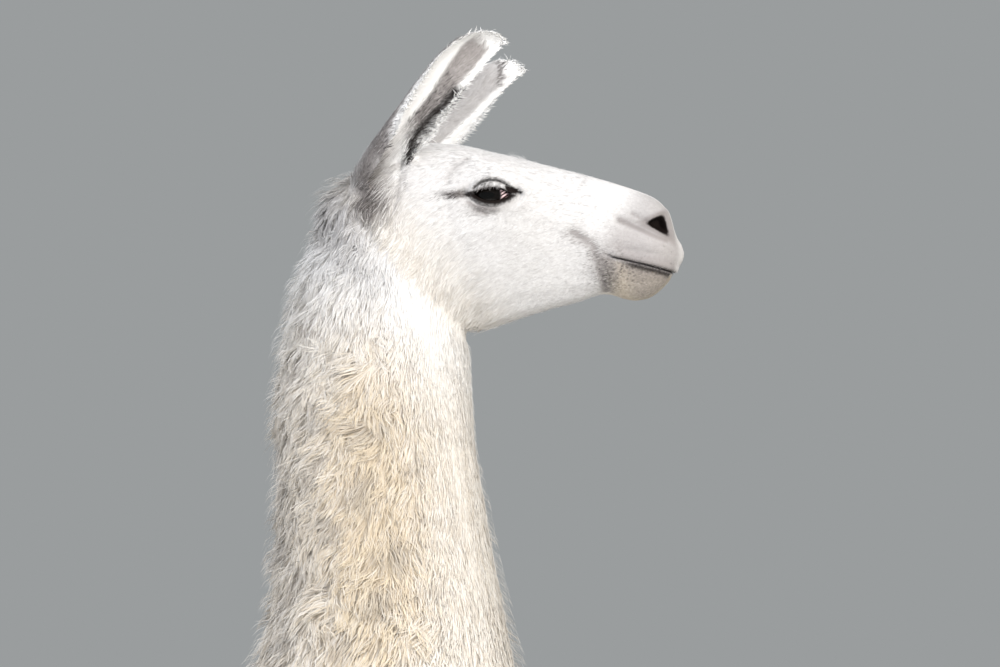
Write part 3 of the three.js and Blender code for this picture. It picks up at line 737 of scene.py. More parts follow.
def mark_muzzle(local, marks):
    """Dark nostrils, grey lips and wings, the mouth's dark line, and a cream chin with specks.
    Much of the grey and dark is painted shade: in the nostrils' pits, over the wings, towards the mouth,
    in its corner and under the lip; the middle and front are kept paler as a painted highlight.
    """
    x, y, z = local.T
    flank = np.abs(y) > FLANK_Y
    ahead = x > MUZZLE_X
    nostril = off_nostril(local)
    mouth, front = above_mouth(local)
    muzzle = ease(x - 0.5 * np.abs(mouth - 14), 200, MUZZLE_X)
    tip = ease(x, 272, 288)
    # painted highlight: grey and dark fade out along the middle line, over a wider band at the front
    edge = ease(np.abs(y), 3 + 5 * tip, 12 + 8 * tip)
    # painted shade, partly grey skin: over the nostril's wing, and on the lips, darker towards the mouth
    wing = hill(np.maximum(nostril - 1, 0), 6) + 0.6 * hill(nostril - 12, 6)
    lips = muzzle * (0.6 + 0.35 * hill(mouth - 2, 9)) * edge
    chin = ease(-mouth, 0, 5) * ease(front, -20, 14)
    # the mouth's corner: grey, partly speckled hair and partly painted shade
    corner = 0.9 * hill(np.hypot((front + 3) / 16, (mouth + 8) / 18), 1) * flank
    add_mark(marks, "grey", ahead * wing * edge, lips, 0.16 * chin, corner)
    add_mark(marks, "cream", chin)
    line = hill(mouth, 1.3 + 0.5 * ease(front, 20, 60)) * ease(front, -3, 4)
    # painted shadow under the upper lip
    shadow_below_lip = hill(mouth + 3.6, 3.2) * ease(front, 4, 24) * edge
    specks = ease(np.sin(1.7 * x + 2.9 * z) * np.sin(2.3 * x - 1.9 * z + 1.1 * y), 0.25, 0.6)
    specks *= hill((front - 14) / 26, 1) * hill((mouth + 12) / 17, 1) * flank
    # below the mouth's corner: dark, partly speckled hair and partly painted shade where chin meets cheek
    specks_and_shade_below_corner = hill(np.hypot((front + 2) / 13, (mouth + 22) / 16), 1) * flank
    # the nostril's pit is dark, partly dark skin and partly painted shade
    add_mark(marks, "dark", ahead * (1 - ease(nostril, -0.5, 1.8)), 0.95 * line, 0.9 * shadow_below_lip)
    add_mark(marks, "dark", 0.2 * corner + 0.6 * specks, 0.5 * specks_and_shade_below_corner, 0.17 * chin * muzzle)
    marks["bare"] = 0.25 * muzzle * (1 - ease(mouth, 26, 40)) * (1 - chin)


def mark_ear(local, normals, part, ear, marks):
    """One ear: white along its edges and tip, grey in its hollow, and dark streaks. The grey and dark
    on its back and the grey on the side of its outside that faces in and forward are painted shade, partly
    grey hair, and the hollow darkens towards its root as painted shade.
    """
    along, share, out, _, _ = ear_place(local, ear)
    mine = (np.sign(local[:, 1]) == ear["side"]) & (part["ear"] + part["rim"] > 0.3) & (along > 0.02)
    inside = ease(-dot(out, normals)[:, 0], 0.0, 0.5)
    outside = 1 - inside
    outward = ear["side"] * normals[:, 1] - 0.6 * normals[:, 0]
    rear = -ear["side"] * share
    edging = np.maximum(ease(-rear, 0.54, 0.7), ease(along, 0.87, 0.94))
    rim = np.maximum(ease(rear, 0.15, 0.35), edging)
    hollow = mine * inside * (1 - rim) * ease(along, 0.22, 0.4) * (1 - ease(along, 0.86, 0.95))
    # painted shade on the ear's back, partly grey hair
    back = mine * outside * ease(outward, -0.1, 0.5) * part["ear"]
    back *= ease(along, 0.02, 0.12) * (1 - ease(along, 0.8, 0.95))
    # painted shade on the side of the outside that faces in and forward
    front = mine * outside * (1 - ease(outward, -0.1, 0.4)) * (1 - rim) * ease(along, 0.1, 0.3)
    tip = np.hypot(share / 0.7, (along - 0.72) / 0.2)
    arc = mine * outside * (1 - ease(outward, -0.3, 0.1)) * hill(tip - 1, 0.09) * ease(along, 0.8, 0.86)
    # the edges keep less of the painted shade that greys flat hair
    marks["short"] = marks["short"] * (1 - 0.8 * mine * np.maximum(inside * rim, edging))
    add_mark(marks, "bare", 0.3 * hollow)
    add_mark(marks, "grey", 0.8 * hollow, 0.95 * back, 0.5 * front, arc)
    # painted shade: the hollow darkens towards its root, and the back darkens
    add_mark(marks, "dark", (0.5 - 0.38 * ease(along, 0.4, 0.75)) * hollow, 0.42 * back, 0.5 * arc)
    for wide, depth, path in EAR_STREAKS.values():
        gap, _ = off_path(local, path)
        add_mark(marks, "dark", mine * inside * depth * hill(gap, wide))


def mark_poll(local, marks):
    """Grey on the poll, and darker below each ear: partly grey hair, partly painted shade under and
    behind the ear.
    """
    x, y, z = local.T
    poll = hill(np.hypot((x + 38) / 24, (z - 1650) / 34), 1)
    gap, down = off_path(local, EAR_SHADE)
    # below the ear: grey hair and painted shadow
    grey_hair_and_shade_below_ear = hill(gap, 12 + 8 * down) * ease(np.abs(y), 8, 30)
    add_mark(marks, "grey", 0.3 * poll, grey_hair_and_shade_below_ear)
    add_mark(marks, "dark", (0.2 + 0.28 * down) * grey_hair_and_shade_below_ear)


def eye_marks(local):
    """The dark skin of the lids: their margins, the upper crease, the corners and the band below.
    The crease's dark is partly painted shade in its groove, with softer painted shade above it, and the
    lid's plate is greyed and streaked partly as painted shadow of the lashes.
    """
    forward, up, outward = eye_plane(local)
    off = off_lids(forward, up)
    above = ease(up - LID_OUTLINE["t"], -1, 1)
    middle = 1 - ease(np.abs(forward - LID_OUTLINE["s"]), 17, 22)
    arch = lid_arch(forward)
    # the crease: partly painted shade in its groove, then softer painted shade above it
    crease = 0.75 * hill(off - arch, 1.7) + 0.35 * hill(off - arch - 2.4, 2.2)
    # the lid's plate: greyed and streaked, partly painted shadow of the lashes
    streaks = 0.12 * np.sin(0.83 * forward + 1) + 0.1 * np.sin(1.7 * forward - 0.6 * off)
    plate = (0.5 - 0.2 * ease(forward, -4, 5) + streaks) * (1 - ease(off, arch - 2, arch))
    lid = np.maximum.reduce((1 - ease(off, 0.6, 1.6), crease * middle, plate * middle)) * above
    band = (1 - 0.3 * ease(off, 2, 5)) * (1 - above)
    band *= 1 - ease(off, 4.8 - 1.5 * ease(forward, 2, 14), 7.2)
    behind = -(forward + 15)
    half = 5 - 3.8 * ease(behind, 0, 15)
    rear = (1 - ease(np.abs(up - 1.6) / half, 0.55, 1.2)) * ease(behind, -3, 1) * (1 - ease(behind, 9, 17))
    past = forward - 15
    half = 4.9 - 3.7 * ease(past, 5, 18)
    front = (1 - ease(np.abs(up - 6.4 + 0.12 * past) / half, 0.6, 1.15)) * ease(past, -3, 1)
    front *= 1 - ease(past, 14, 19)
    spot = 0.9 * hill(np.hypot(forward - 21, up - 0.5), 3.4)
    marks = np.maximum.reduce((lid, band, 0.95 * rear, front, spot))
    return np.where((outward > -2) & (np.hypot(forward, up) < 45), marks, 0)


# ---- the coat ----


def shortness(local):
    """How short the hair is cut back near the lids, the nostrils and the lips, as a share of its length."""
    forward, up, outward = eye_plane(local)
    off = np.where(outward > -6, off_lids(forward, up), 99)
    keep = 0.25 + 0.75 * ease(off, 3, 20)
    keep = np.where(off < 2.2, 0, keep)
    ahead = local[:, 0] > MUZZLE_X
    nostril = np.where(ahead, off_nostril(local), 99)
    keep *= np.where(nostril < 1.5, 0, 0.3 + 0.7 * ease(nostril, 1.5, 16))
    mouth, front = above_mouth(local)
    gap = np.where(front > -4, np.abs(mouth), 99)
    keep *= np.where(gap < 1.6, 0, 1)
    return keep * (1 - 0.5 * ease(local[:, 0], 180, 250))


def sow(rng, regions, density=1.0):
    """Scatters roots on the skin where the chosen regions are, as a dictionary of arrays."""
    mesh = SKIN["obj"].data
    mesh.calc_loop_triangles()
    corners = read(mesh.loop_triangles, "vertices", 3, np.int32)
    loops = read(mesh.loop_triangles, "loops", 3, np.int32)
    uv = read(mesh.uv_layers["OFBake"].uv, "vector", 2)
    a, b, c = (SKIN["points"][corners[:, i]] for i in range(3))
    area = np.linalg.norm(np.cross(b - a, c - a), axis=1) / 2 / MM**2
    shares = SKIN["shares"][corners].mean(axis=1)
    home = np.isin(np.argmax(shares, axis=1), [REGIONS.index(name) for name in regions])
    apart = grown(shares, "apart")
    wanted = np.where(home, area * density / apart**2, 0)
    edges = np.concatenate(((0,), np.cumsum(wanted)))
    count = int(edges[-1])
    stops = (np.arange(count) + rng.random(count)) * edges[-1] / count
    tri = np.minimum(np.searchsorted(edges, stops, side="right") - 1, len(area) - 1)
    u, v = rng.random(count), rng.random(count)
    flip = u + v > 1
    u, v = np.where(flip, 1 - u, u), np.where(flip, 1 - v, v)
    weights = np.stack((1 - u - v, u, v), axis=1)[:, :, None]
    roots = {}
    for key in ("points", "normals", "shares", "lie"):
        roots[key] = (SKIN[key][corners[tri]] * weights).sum(axis=1)
    roots["uv"] = (uv[loops[tri]] * weights).sum(axis=1)
    roots["normals"] = unit(roots["normals"])
    roots["lie"] = unit(roots["lie"] - dot(roots["lie"], roots["normals"]) * roots["normals"])
    roots["local"] = to_local(roots["points"])
    return roots


def clump(rng, roots, width):
    """Gathers roots into clumps: the index of each root's clump, which is itself one of the roots."""
    count = len(roots["points"])
    apart = grown(roots["shares"], "apart")
    chosen = np.nonzero(rng.random(count) < (apart / width) ** 2 * 1.3)[0]
    tree = KDTree(len(chosen))
    for i in chosen:
        tree.insert(roots["points"][i], i)
    tree.balance()
    return np.array([tree.find(point)[1] for point in roots["points"]])


def turned(vectors, axes, angles):
    """Each vector turned round its axis."""
    cosine, sine = np.cos(angles)[:, None], np.sin(angles)[:, None]
    return vectors * cosine + np.cross(axes, vectors) * sine + axes * dot(axes, vectors) * (1 - cosine)


def comb(rng, roots, keep, longer):
    """How each lock lies: its way along the skin, its sizes and wave, and how its clump draws it in."""
    shares = roots["shares"]
    size = {key: grown(shares, key) for key in TRAITS}
    lead = clump(rng, roots, size["clump"])
    big = clump(rng, roots, 2.8 * size["clump"])
    count = len(shares)
    vary = rng.normal(0, 1, (4, count))
    length = size["length"] * longer * keep * np.clip(1 + 0.18 * vary[0] + 0.12 * vary[1][lead], 0.4, 1.5)
    uneven = np.clip(size["lean"] / 0.5, 0.15, 1)
    rise = 0.85 + uneven * (0.09 * vary[2] + 0.1 * vary[3][lead] + 0.1 * vary[2][big])
    height = coat_height(roots["local"], shares) * keep**0.5 * np.clip(rise, 0.3, 1.1)
    swing = rng.normal(0, 1, (3, count))
    turn = size["lean"] * (0.6 * swing[0][lead] + 0.7 * swing[1][big]) + 0.14 * swing[2]
    lie = turned(roots["lie"], roots["normals"], turn)
    width = size["width"] * np.sqrt(np.maximum(keep, 0.1)) * rng.uniform(0.7, 1.25, count)
    for tuft in TUFTS.values():
        near = hill(np.linalg.norm(roots["local"] - np.array(tuft["at"]), axis=1), tuft["wide"])
        height += near * tuft["higher"]
        length += near * tuft["longer"]
    guard = rng.random(count) < GUARD["share"]
    width *= np.where(guard, GUARD["width"], 1)
    height *= np.where(guard, GUARD["height"] + 3 * throat_fringe(roots["local"], shares), 1)
    tip = roots["points"] + (lie * length[:, None] + roots["normals"] * height[:, None]) * MM
    draw = (tip[lead] - tip) / MM
    close = np.linalg.norm(draw, axis=1) < 2.2 * size["clump"]
    draw *= (size["pull"] * np.where(guard, GUARD["pull"], 1) * close)[:, None]
    phase = 2 * math.pi * rng.random(count)[lead] + rng.normal(0, 0.6, count)
    hue = np.stack((rng.random(count), rng.random(count)[lead]), axis=1)
    return {
        "lie": lie, "length": length, "height": height, "width": width, "draw": draw,
        "wave": size["wave"], "phase": phase, "hue": hue, "flat": size["flat"],
    }


def throat_fringe(local, shares):
    """Where the long thin hairs hang, down the middle of the lower throat."""
    low = 1 - ease(local[:, 2], 1330, 1420)
    return shares[:, REGIONS.index("throat")] * hill(local[:, 1], 16) * low


def lock_points(roots, locks, form):
    """The vertices of every lock in metres: rings of three from its root, and its tip."""
    lie, length, height = locks["lie"], locks["length"], locks["height"]
    side = unit(np.cross(roots["normals"], lie))

    def middle(t):
        """The middle of each lock at a share t of its length."""
        lift = 1 - (1 - t) ** 2.2
        centre = lie * (length * (t + 0.12 * t * (1 - t)))[:, None]
        centre += roots["normals"] * (height * lift - SUNK)[:, None]
        centre += side * (locks["wave"] * t**0.5 * np.sin(locks["phase"] + WAVE_TURN * t))[:, None]
        return centre + locks["draw"] * t**1.4

    rows = []
    for t, fat in LOCKS[form]:
        out = unit(roots["normals"] - lie * (height / np.maximum(length, 1) * (1 - t))[:, None])
        centre = middle(t)
        rows.extend(centre + (side * x + out * z) * (locks["width"] * fat)[:, None] for x, z in RING)
    rows.append(middle(1))
    points = roots["points"][:, None, :] + np.stack(rows, axis=1) * MM
    points[:, :, 2] = np.maximum(points[:, :, 2], LOWEST * MM)
    return points


def grow(name, regions, seed, form="plain", trim=False):
    """Grows the locks of some regions, and returns their pieces, each under the triangle limit.

    form is the lock's shape, and trim cuts the hair back round the eyes, the nostrils and the mouth."""
    rng = np.random.default_rng(seed)
    coat = bpy.context.scene.llama_coat
    roots = sow(rng, regions, coat.fullness * (1))
    local = roots["local"]
    keep = shortness(local) if trim else np.ones(len(local))
    locks = comb(rng, roots, keep, coat.length)
    points = lock_points(roots, locks, form)
    marks = markings(local, roots["normals"], roots["shares"])
    along = [t for t, _ in LOCKS[form] for _ in RING] + [1]
    across = [0.5 + x for _ in LOCKS[form] for x, _ in RING] + [0.5]
    patch = np.stack((across, along), axis=1) - 0.5
    uvs = roots["uv"][:, None, :] + patch[None] * UV_PATCH
    faces = lock_faces(len(LOCKS[form]))
    limit = PIECE_TRIANGLES // sum(len(face) - 2 for face in faces)
    alive = np.nonzero(keep > 0.05)[0]
    order = alive[np.lexsort((local[alive, 1] > 0, -local[alive, 2] // 120))]  # from the top down, in bands
    parts = max(1, math.ceil(len(order) / limit))
    pieces = []
    for i, chosen in enumerate(np.array_split(order, parts)):
        title = name if parts == 1 else f"{name}_{i + 1}"
        shading = {"normals": roots["normals"][chosen], "flat": locks["flat"][chosen]}
        mesh = lock_mesh(title, points[chosen], faces, uvs[chosen], **shading)
        write_attribute(mesh, "marks", np.repeat(marks[chosen], len(along), axis=0))
        strand = np.empty((len(chosen), len(along), 4))
        strand[:, :, 0] = along
        strand[:, :, 1] = across
        strand[:, :, 2:] = locks["hue"][chosen][:, None, :]
        write_attribute(mesh, "strand", strand)
        mesh.materials.append(wool_material())
        pieces.append(place(bpy.data.objects.new(title, mesh)))
    return pieces


def lock_faces(rings):
    """The faces of one closed lock: a cap, sides between rings of three, and a pointed tip."""
    faces = [(0, 2, 1)]
    for r in range(rings - 1):
        a, b = 3 * r, 3 * r + 3
        faces.extend((a + i, a + (i + 1) % 3, b + (i + 1) % 3, b + i) for i in range(3))
    last = 3 * (rings - 1)
    faces.extend((last + i, last + (i + 1) % 3, 3 * rings) for i in range(3))
    return faces


def lock_mesh(name, points, faces, uvs, normals=None, flat=None):
    """Many like locks joined into one mesh, straight from arrays. With a normal and a share flat for each
    lock, its shading is drawn towards that normal by that share, and under the lock away from it."""
    count, per = points.shape[:2]
    corners = np.array([i for face in faces for i in face], np.int32)
    sizes = np.array([len(face) for face in faces], np.int32)
    index = (np.arange(count, dtype=np.int32)[:, None] * per + corners[None]).ravel()
    mesh = bpy.data.meshes.new(name)
    mesh.vertices.add(count * per)
    mesh.vertices.foreach_set("co", points.astype(np.float32).ravel())
    mesh.loops.add(len(index))
    mesh.loops.foreach_set("vertex_index", index)
    all_sizes = np.tile(sizes, count)
    mesh.polygons.add(len(all_sizes))
    starts = np.concatenate(((0,), np.cumsum(all_sizes)[:-1])).astype(np.int32)
    mesh.polygons.foreach_set("loop_start", starts)
    mesh.update(calc_edges=True)
    mesh.shade_smooth()
    layer = mesh.uv_layers.new(name="OFBake")
    layer.uv.foreach_set("vector", uvs.reshape(-1, 2)[index].astype(np.float32).ravel())
    if normals is not None:
        own = read(mesh.vertex_normals, "vector", 3)[index]
        lower = [face[0] % 3 == 0 and face[1] == face[0] + 1 for face in faces]
        way = np.tile(np.repeat(np.where(lower, -1.0, 1.0), sizes), count)[:, None]
        share = np.repeat(flat, len(corners))[:, None]
        drawn = np.repeat(normals, len(corners), axis=0) * way
        mesh.normals_split_custom_set(unit(own * (1 - share) + drawn * share).tolist())
    return mesh


# ---- eyes, nails and lashes ----


def make_eye(side):
    """An eyeball with a bulging cornea, and its own coordinates from the middle of the iris."""
    sign = SIDES[side]
    face = bpy.context.scene.llama_face
    gaze = Vector((math.sin(-face.gaze), sign * math.cos(face.gaze), 0.02)).normalized()
    made = bmesh.new()
    bmesh.ops.create_uvsphere(made, u_segments=72, v_segments=48, radius=EYE_RADIUS * MM)
    turn = gaze.to_track_quat("Z", "Y").to_matrix().to_4x4()
    bmesh.ops.transform(made, matrix=Matrix.Translation(EYES[side]) @ turn, verts=made.verts)
    mesh = bpy.data.meshes.new("eye_" + side)
    flat = gaze.cross(Vector((0, 0, 1))).normalized() * sign
    rise = flat.cross(gaze).normalized() * sign
    plane = []
    for vert in made.verts:
        way = (vert.co - EYES[side]).normalized()
        tilt = way.angle(gaze)
        vert.co += way * CORNEA["rise"] * MM * max(0, 1 - (tilt / CORNEA["reach"]) ** 2) ** 1.5
        across, up = (way.dot(axis) * EYE_RADIUS / GAZE_SPAN + 0.5 for axis in (flat, rise))
        plane.append((across, up, tilt, 1))
    made.to_mesh(mesh)
    made.free()
    mesh.shade_smooth()
    write_attribute(mesh, "gaze", np.array(plane))
    mesh.materials.append(eye_material())
    obj = place(bpy.data.objects.new("eyeball_" + side, mesh))
    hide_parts("eye_" + side)
    return obj


def make_nail(node):
    """A toe's nail: the solid's shape with its edges softened."""
    made = bmesh.new()
    made.from_mesh(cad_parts[node].data)
    bmesh.ops.remove_doubles(made, verts=made.verts, dist=1e-5)
    bmesh.ops.join_triangles(made, faces=made.faces, angle_face_threshold=0.6, angle_shape_threshold=1.2)
    bmesh.ops.subdivide_edges(made, edges=made.edges, cuts=2, use_grid_fill=True)
    every_way = {"use_axis_x": True, "use_axis_y": True, "use_axis_z": True}
    for _ in range(4):
        bmesh.ops.smooth_vert(made, verts=made.verts, factor=0.35, **every_way)
    mesh = bpy.data.meshes.new(node + "_horn")
    made.to_mesh(mesh)
    made.free()
    mesh.shade_smooth()
    mesh.materials.append(horn_material())
    obj = place(bpy.data.objects.new(node + "_horn", mesh))
    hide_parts(node)
    return obj


def make_lashes(side):
    """Pale lashes that hang over the upper lid's edge."""
    rng = np.random.default_rng(71 + SIDES[side])
    sign = SIDES[side]
    count = 46
    half, rise = LID_OUTLINE["half"], LID_OUTLINE["above"]
    s = LID_OUTLINE["s"] + half * rng.uniform(-0.75, 0.7, count)
    radius = (half**2 + rise**2) / (2 * rise)
    edge = np.sqrt(radius**2 - (s - LID_OUTLINE["s"]) ** 2) - radius + rise + LID_OUTLINE["t"]
    t = edge + rng.uniform(0.6, 3, count)
    outward = np.sqrt((LID["radius"] + 0.3) ** 2 - (LID["flat"] * np.hypot(s, t)) ** 2)
    base = np.stack((s, sign * outward, t), axis=1)
    lean = 0.05 * (s - 4) + rng.normal(0, 0.25, count)
    way = unit(np.stack((lean, np.full(count, sign * 0.75), rng.normal(-0.75, 0.2, count)), axis=1))
    length = rng.uniform(4, 7.5, count)
    across = unit(np.cross(way, np.array((0, 0, 1.0))))
    out = np.cross(across, way)
    rows = []
    for share, fat in LOCKS["plain"]:
        middle = base + way * (length * share)[:, None]
        rows.extend(middle + (across * x + out * z) * 0.5 * fat for x, z in RING)
    rows.append(base + way * length[:, None])
    points = np.array(EYES[side]) + np.stack(rows, axis=1) * MM
    per = len(rows)
    uvs = np.full((count, per, 2), 0.5)
    mesh = lock_mesh("lashes_" + side, points, lock_faces(len(LOCKS["plain"])), uvs)
    write_attribute(mesh, "marks", np.tile((0, 1, 0, 0.3), (count * per, 1)))
    write_attribute(mesh, "strand", np.full((count * per, 4), 0.5))
    mesh.materials.append(wool_material())
    return place(bpy.data.objects.new("lashes_" + side, mesh))


# ---- materials ----


def colour(code):
    """An sRGB hex colour as linear red, green, blue and alpha."""
    values = [int(code[i : i + 2], 16) / 255 for i in (0, 2, 4)]
    return [v / 12.92 if v <= 0.04045 else ((v + 0.055) / 1.055) ** 2.4 for v in values] + [1.0]


def pattern_scale(size):
    """The scale of a pattern whose grain is this many millimetres across, on coordinates in metres."""
    return 1 / (size * MM)


def material(name):
    """A new material, its node tree and its shader."""
    made = bpy.data.materials.new(name)
    made.use_nodes = True
    return made, made.node_tree, made.node_tree.nodes["Principled BSDF"]


def node(tree, kind, settings=None, **links):
    """Adds a node: settings are its own properties, links its sockets' values or the sockets they take."""
    made = tree.nodes.new(kind)
    for key, value in (settings or {}).items():
        setattr(made, key, value)
    for key, value in links.items():
        name = int(key[1:]) if key[0] == "i" and key[1:].isdigit() else key
        socket = made.inputs[name]
        if isinstance(value, bpy.types.NodeSocket):
            tree.links.new(value, socket)
        else:
            socket.default_value = value
    return made


# Settings of the nodes that the materials use most.
BLEND = {"data_type": "RGBA"}  # input 0 is the share, 6 and 7 the colours, and output 2 the result
ADD = {"operation": "ADD"}
SUBTRACT = {"operation": "SUBTRACT"}
MULTIPLY = {"operation": "MULTIPLY"}
MULTIPLY_ADD = {"operation": "MULTIPLY_ADD"}
DIVIDE = {"operation": "DIVIDE"}
POWER = {"operation": "POWER"}
SINE = {"operation": "SINE"}
SQUARE_ROOT = {"operation": "SQRT"}


def hair_colours(tree, wild):
    """White hair, tinted by the markings: cream, grey, bare skin and dark. wild varies it, and makes
    half-grey and half-dark places speckled."""
    coat = bpy.context.scene.llama_coat
    marks = node(tree, "ShaderNodeAttribute", {"attribute_name": "marks"})
    parts = node(tree, "ShaderNodeSeparateColor", Color=marks.outputs["Color"])
    uneven = node(tree, "ShaderNodeMath", MULTIPLY_ADD, i0=wild, i1=0.8, i2=0.6)
    cream = node(tree, "ShaderNodeMath", MULTIPLY, i0=parts.outputs[0], i1=uneven.outputs[0])
    grey = speckled(tree, parts.outputs[1], wild, 1.2)
    dark = speckled(tree, marks.outputs["Alpha"], wild, 4.0)
    base = (*coat.white, 1)
    for share, tint in (
        (cream.outputs[0], coat.cream),
        (grey, coat.grey),
        (parts.outputs[2], coat.bare),
        (dark, coat.dark),
    ):
        base = node(tree, "ShaderNodeMix", BLEND, i0=share, i6=base, i7=(*tint, 1)).outputs[2]
    return base


def speckled(tree, share, wild, contrast):
    """Pushes a share that is near a half up or down by the random value wild."""
    rest = node(tree, "ShaderNodeMath", SUBTRACT, i0=1.0, i1=share)
    room = node(tree, "ShaderNodeMath", MULTIPLY, i0=share, i1=rest.outputs[0])
    centred = node(tree, "ShaderNodeMath", SUBTRACT, i0=wild, i1=0.5)
    push = node(tree, "ShaderNodeMath", MULTIPLY, i0=centred.outputs[0], i1=contrast).outputs[0]
    return node(tree, "ShaderNodeMath", MULTIPLY_ADD, i0=room.outputs[0], i1=push, i2=share).outputs[0]


MADE = {}


def once(maker):
    """Keeps one copy of each material."""
    def made():
        if maker.__name__ not in MADE:
            MADE[maker.__name__] = maker()
        return MADE[maker.__name__]
    return made


@once
def wool_material():
    """Washed llama wool: matt fibre with a soft sheen, a little dusty, and darker and yellower at the
    roots, partly dirt and partly painted shade.
    """
    made, tree, shader = material("llama wool")
    strand = node(tree, "ShaderNodeAttribute", {"attribute_name": "strand"})
    parts = node(tree, "ShaderNodeSeparateColor", Color=strand.outputs["Color"])
    base = hair_colours(tree, parts.outputs[2])
    marks = node(tree, "ShaderNodeAttribute", {"attribute_name": "marks"})
    woolly = node(tree, "ShaderNodeSeparateColor", Color=marks.outputs["Color"]).outputs[0]
    rare = node(tree, "ShaderNodeMath", POWER, i0=strand.outputs["Alpha"], i1=4.0)
    rare = node(tree, "ShaderNodeMath", MULTIPLY, i0=rare.outputs[0], i1=woolly)
    dusty = node(tree, "ShaderNodeMath", MULTIPLY, i0=rare.outputs[0], i1=0.4)
    base = node(tree, "ShaderNodeMix", BLEND, i0=dusty.outputs[0], i6=base, i7=colour("b3a390")).outputs[2]
    # the roots darken: partly dirt, partly painted shade between the locks
    low = node(tree, "ShaderNodeMath", SUBTRACT, i0=1.0, i1=parts.outputs[0])
    low = node(tree, "ShaderNodeMath", POWER, i0=low.outputs[0], i1=2.0)
    root_dirt_and_shade = node(tree, "ShaderNodeMath", MULTIPLY, i0=woolly, i1=0.15)
    root = node(tree, "ShaderNodeMath", MULTIPLY, i0=low.outputs[0], i1=root_dirt_and_shade.outputs[0])
    base = node(tree, "ShaderNodeMix", BLEND, i0=root.outputs[0], i6=base, i7=colour("b9a88e")).outputs[2]
    tree.links.new(base, shader.inputs["Base Color"])
    shader.inputs["Roughness"].default_value = 0.75
    shader.inputs["Specular IOR Level"].default_value = 0.25
    shader.inputs["Sheen Weight"].default_value = 0.3
    return made


@once
def skin_material():
    """Skin under short hair: the coat's own colours, dulled by a nap of 2.5 mm grain, which is drawn
    that coarse to show."""
    made, tree, shader = material("short-haired skin")
    place_on = node(tree, "ShaderNodeTexCoord")
    fine = pattern_scale(2.5)
    grain = node(tree, "ShaderNodeTexNoise", Vector=place_on.outputs["Object"], Scale=fine, Detail=3.0)
    base = hair_colours(tree, grain.outputs["Fac"])
    tree.links.new(base, shader.inputs["Base Color"])
    bump = node(tree, "ShaderNodeBump", Strength=0.35, Distance=0.0006, Height=grain.outputs["Fac"])
    tree.links.new(bump.outputs["Normal"], shader.inputs["Normal"])
    shader.inputs["Roughness"].default_value = 0.8
    shader.inputs["Specular IOR Level"].default_value = 0.25
    return made


STRIPE = 3.7  # millimetres from stripe to stripe at the eye's corner, measured level


@once
def eye_material():
    """A wet eye: near-black iris, level pupil and striped pink-white at its corner, under a clear coat."""
    made, tree, shader = material("wet eye")
    gaze = node(tree, "ShaderNodeAttribute", {"attribute_name": "gaze"})
    parts = node(tree, "ShaderNodeSeparateColor", Color=gaze.outputs["Color"])
    across, rise = (
        node(tree, "ShaderNodeMath", MULTIPLY_ADD, i0=way, i1=GAZE_SPAN, i2=-GAZE_SPAN / 2).outputs[0]
        for way in parts.outputs[:2]
    )
    squares = [node(tree, "ShaderNodeMath", MULTIPLY, i0=way, i1=way).outputs[0] for way in (across, rise)]
    reach = node(tree, "ShaderNodeMath", ADD, i0=squares[0], i1=squares[1])
    reach = node(tree, "ShaderNodeMath", SQUARE_ROOT, i0=reach.outputs[0]).outputs[0]
    place_on = node(tree, "ShaderNodeTexCoord")
    fine = pattern_scale(2)
    veins = node(tree, "ShaderNodeTexNoise", Vector=place_on.outputs["Object"], Scale=fine, Detail=2.0)
    slant = node(tree, "ShaderNodeMath", SUBTRACT, i0=across, i1=rise)
    slant = node(tree, "ShaderNodeMath", MULTIPLY, i0=slant.outputs[0], i1=2 * math.pi / STRIPE)
    slant = node(tree, "ShaderNodeMath", SINE, i0=slant.outputs[0])
    stripe = node(tree, "ShaderNodeMath", MULTIPLY_ADD, i0=slant.outputs[0], i1=1.1, i2=0.65)
    dark, pink = colour("2a1214"), colour("ecd0ce")
    white = node(tree, "ShaderNodeMix", BLEND, i0=stripe.outputs[0], i6=dark, i7=pink)
    black, brown = colour("060403"), colour("0e0907")
    iris = node(tree, "ShaderNodeMix", BLEND, i0=veins.outputs["Fac"], i6=black, i7=brown)
    ring = node(tree, "ShaderNodeMapRange", i0=reach, i1=IRIS, i2=IRIS + 1)
    rim = node(tree, "ShaderNodeMapRange", i0=reach, i1=13.2, i2=15.0)
    slate = colour("4a4446")
    outer = node(tree, "ShaderNodeMix", BLEND, i0=rim.outputs[0], i6=slate, i7=white.outputs[2])
    base = node(tree, "ShaderNodeMix", BLEND, i0=ring.outputs[0], i6=iris.outputs[2], i7=outer.outputs[2])
    wide = node(tree, "ShaderNodeMath", DIVIDE, i0=squares[0], i1=64.0)
    level = node(tree, "ShaderNodeMath", DIVIDE, i0=squares[1], i1=10.2)
    level = node(tree, "ShaderNodeMath", ADD, i0=wide.outputs[0], i1=level.outputs[0])
    pupil = node(tree, "ShaderNodeMapRange", i0=level.outputs[0], i1=0.9, i2=1.1)
    base = node(tree, "ShaderNodeMix", BLEND, i0=pupil.outputs[0], i6=colour("030303"), i7=base.outputs[2])
    tree.links.new(base.outputs[2], shader.inputs["Base Color"])
    shader.inputs["Roughness"].default_value = 0.3
    shader.inputs["Specular IOR Level"].default_value = 0.05
    shader.inputs["Coat Weight"].default_value = 0.45
    shader.inputs["Coat Roughness"].default_value = 0.03
    return made


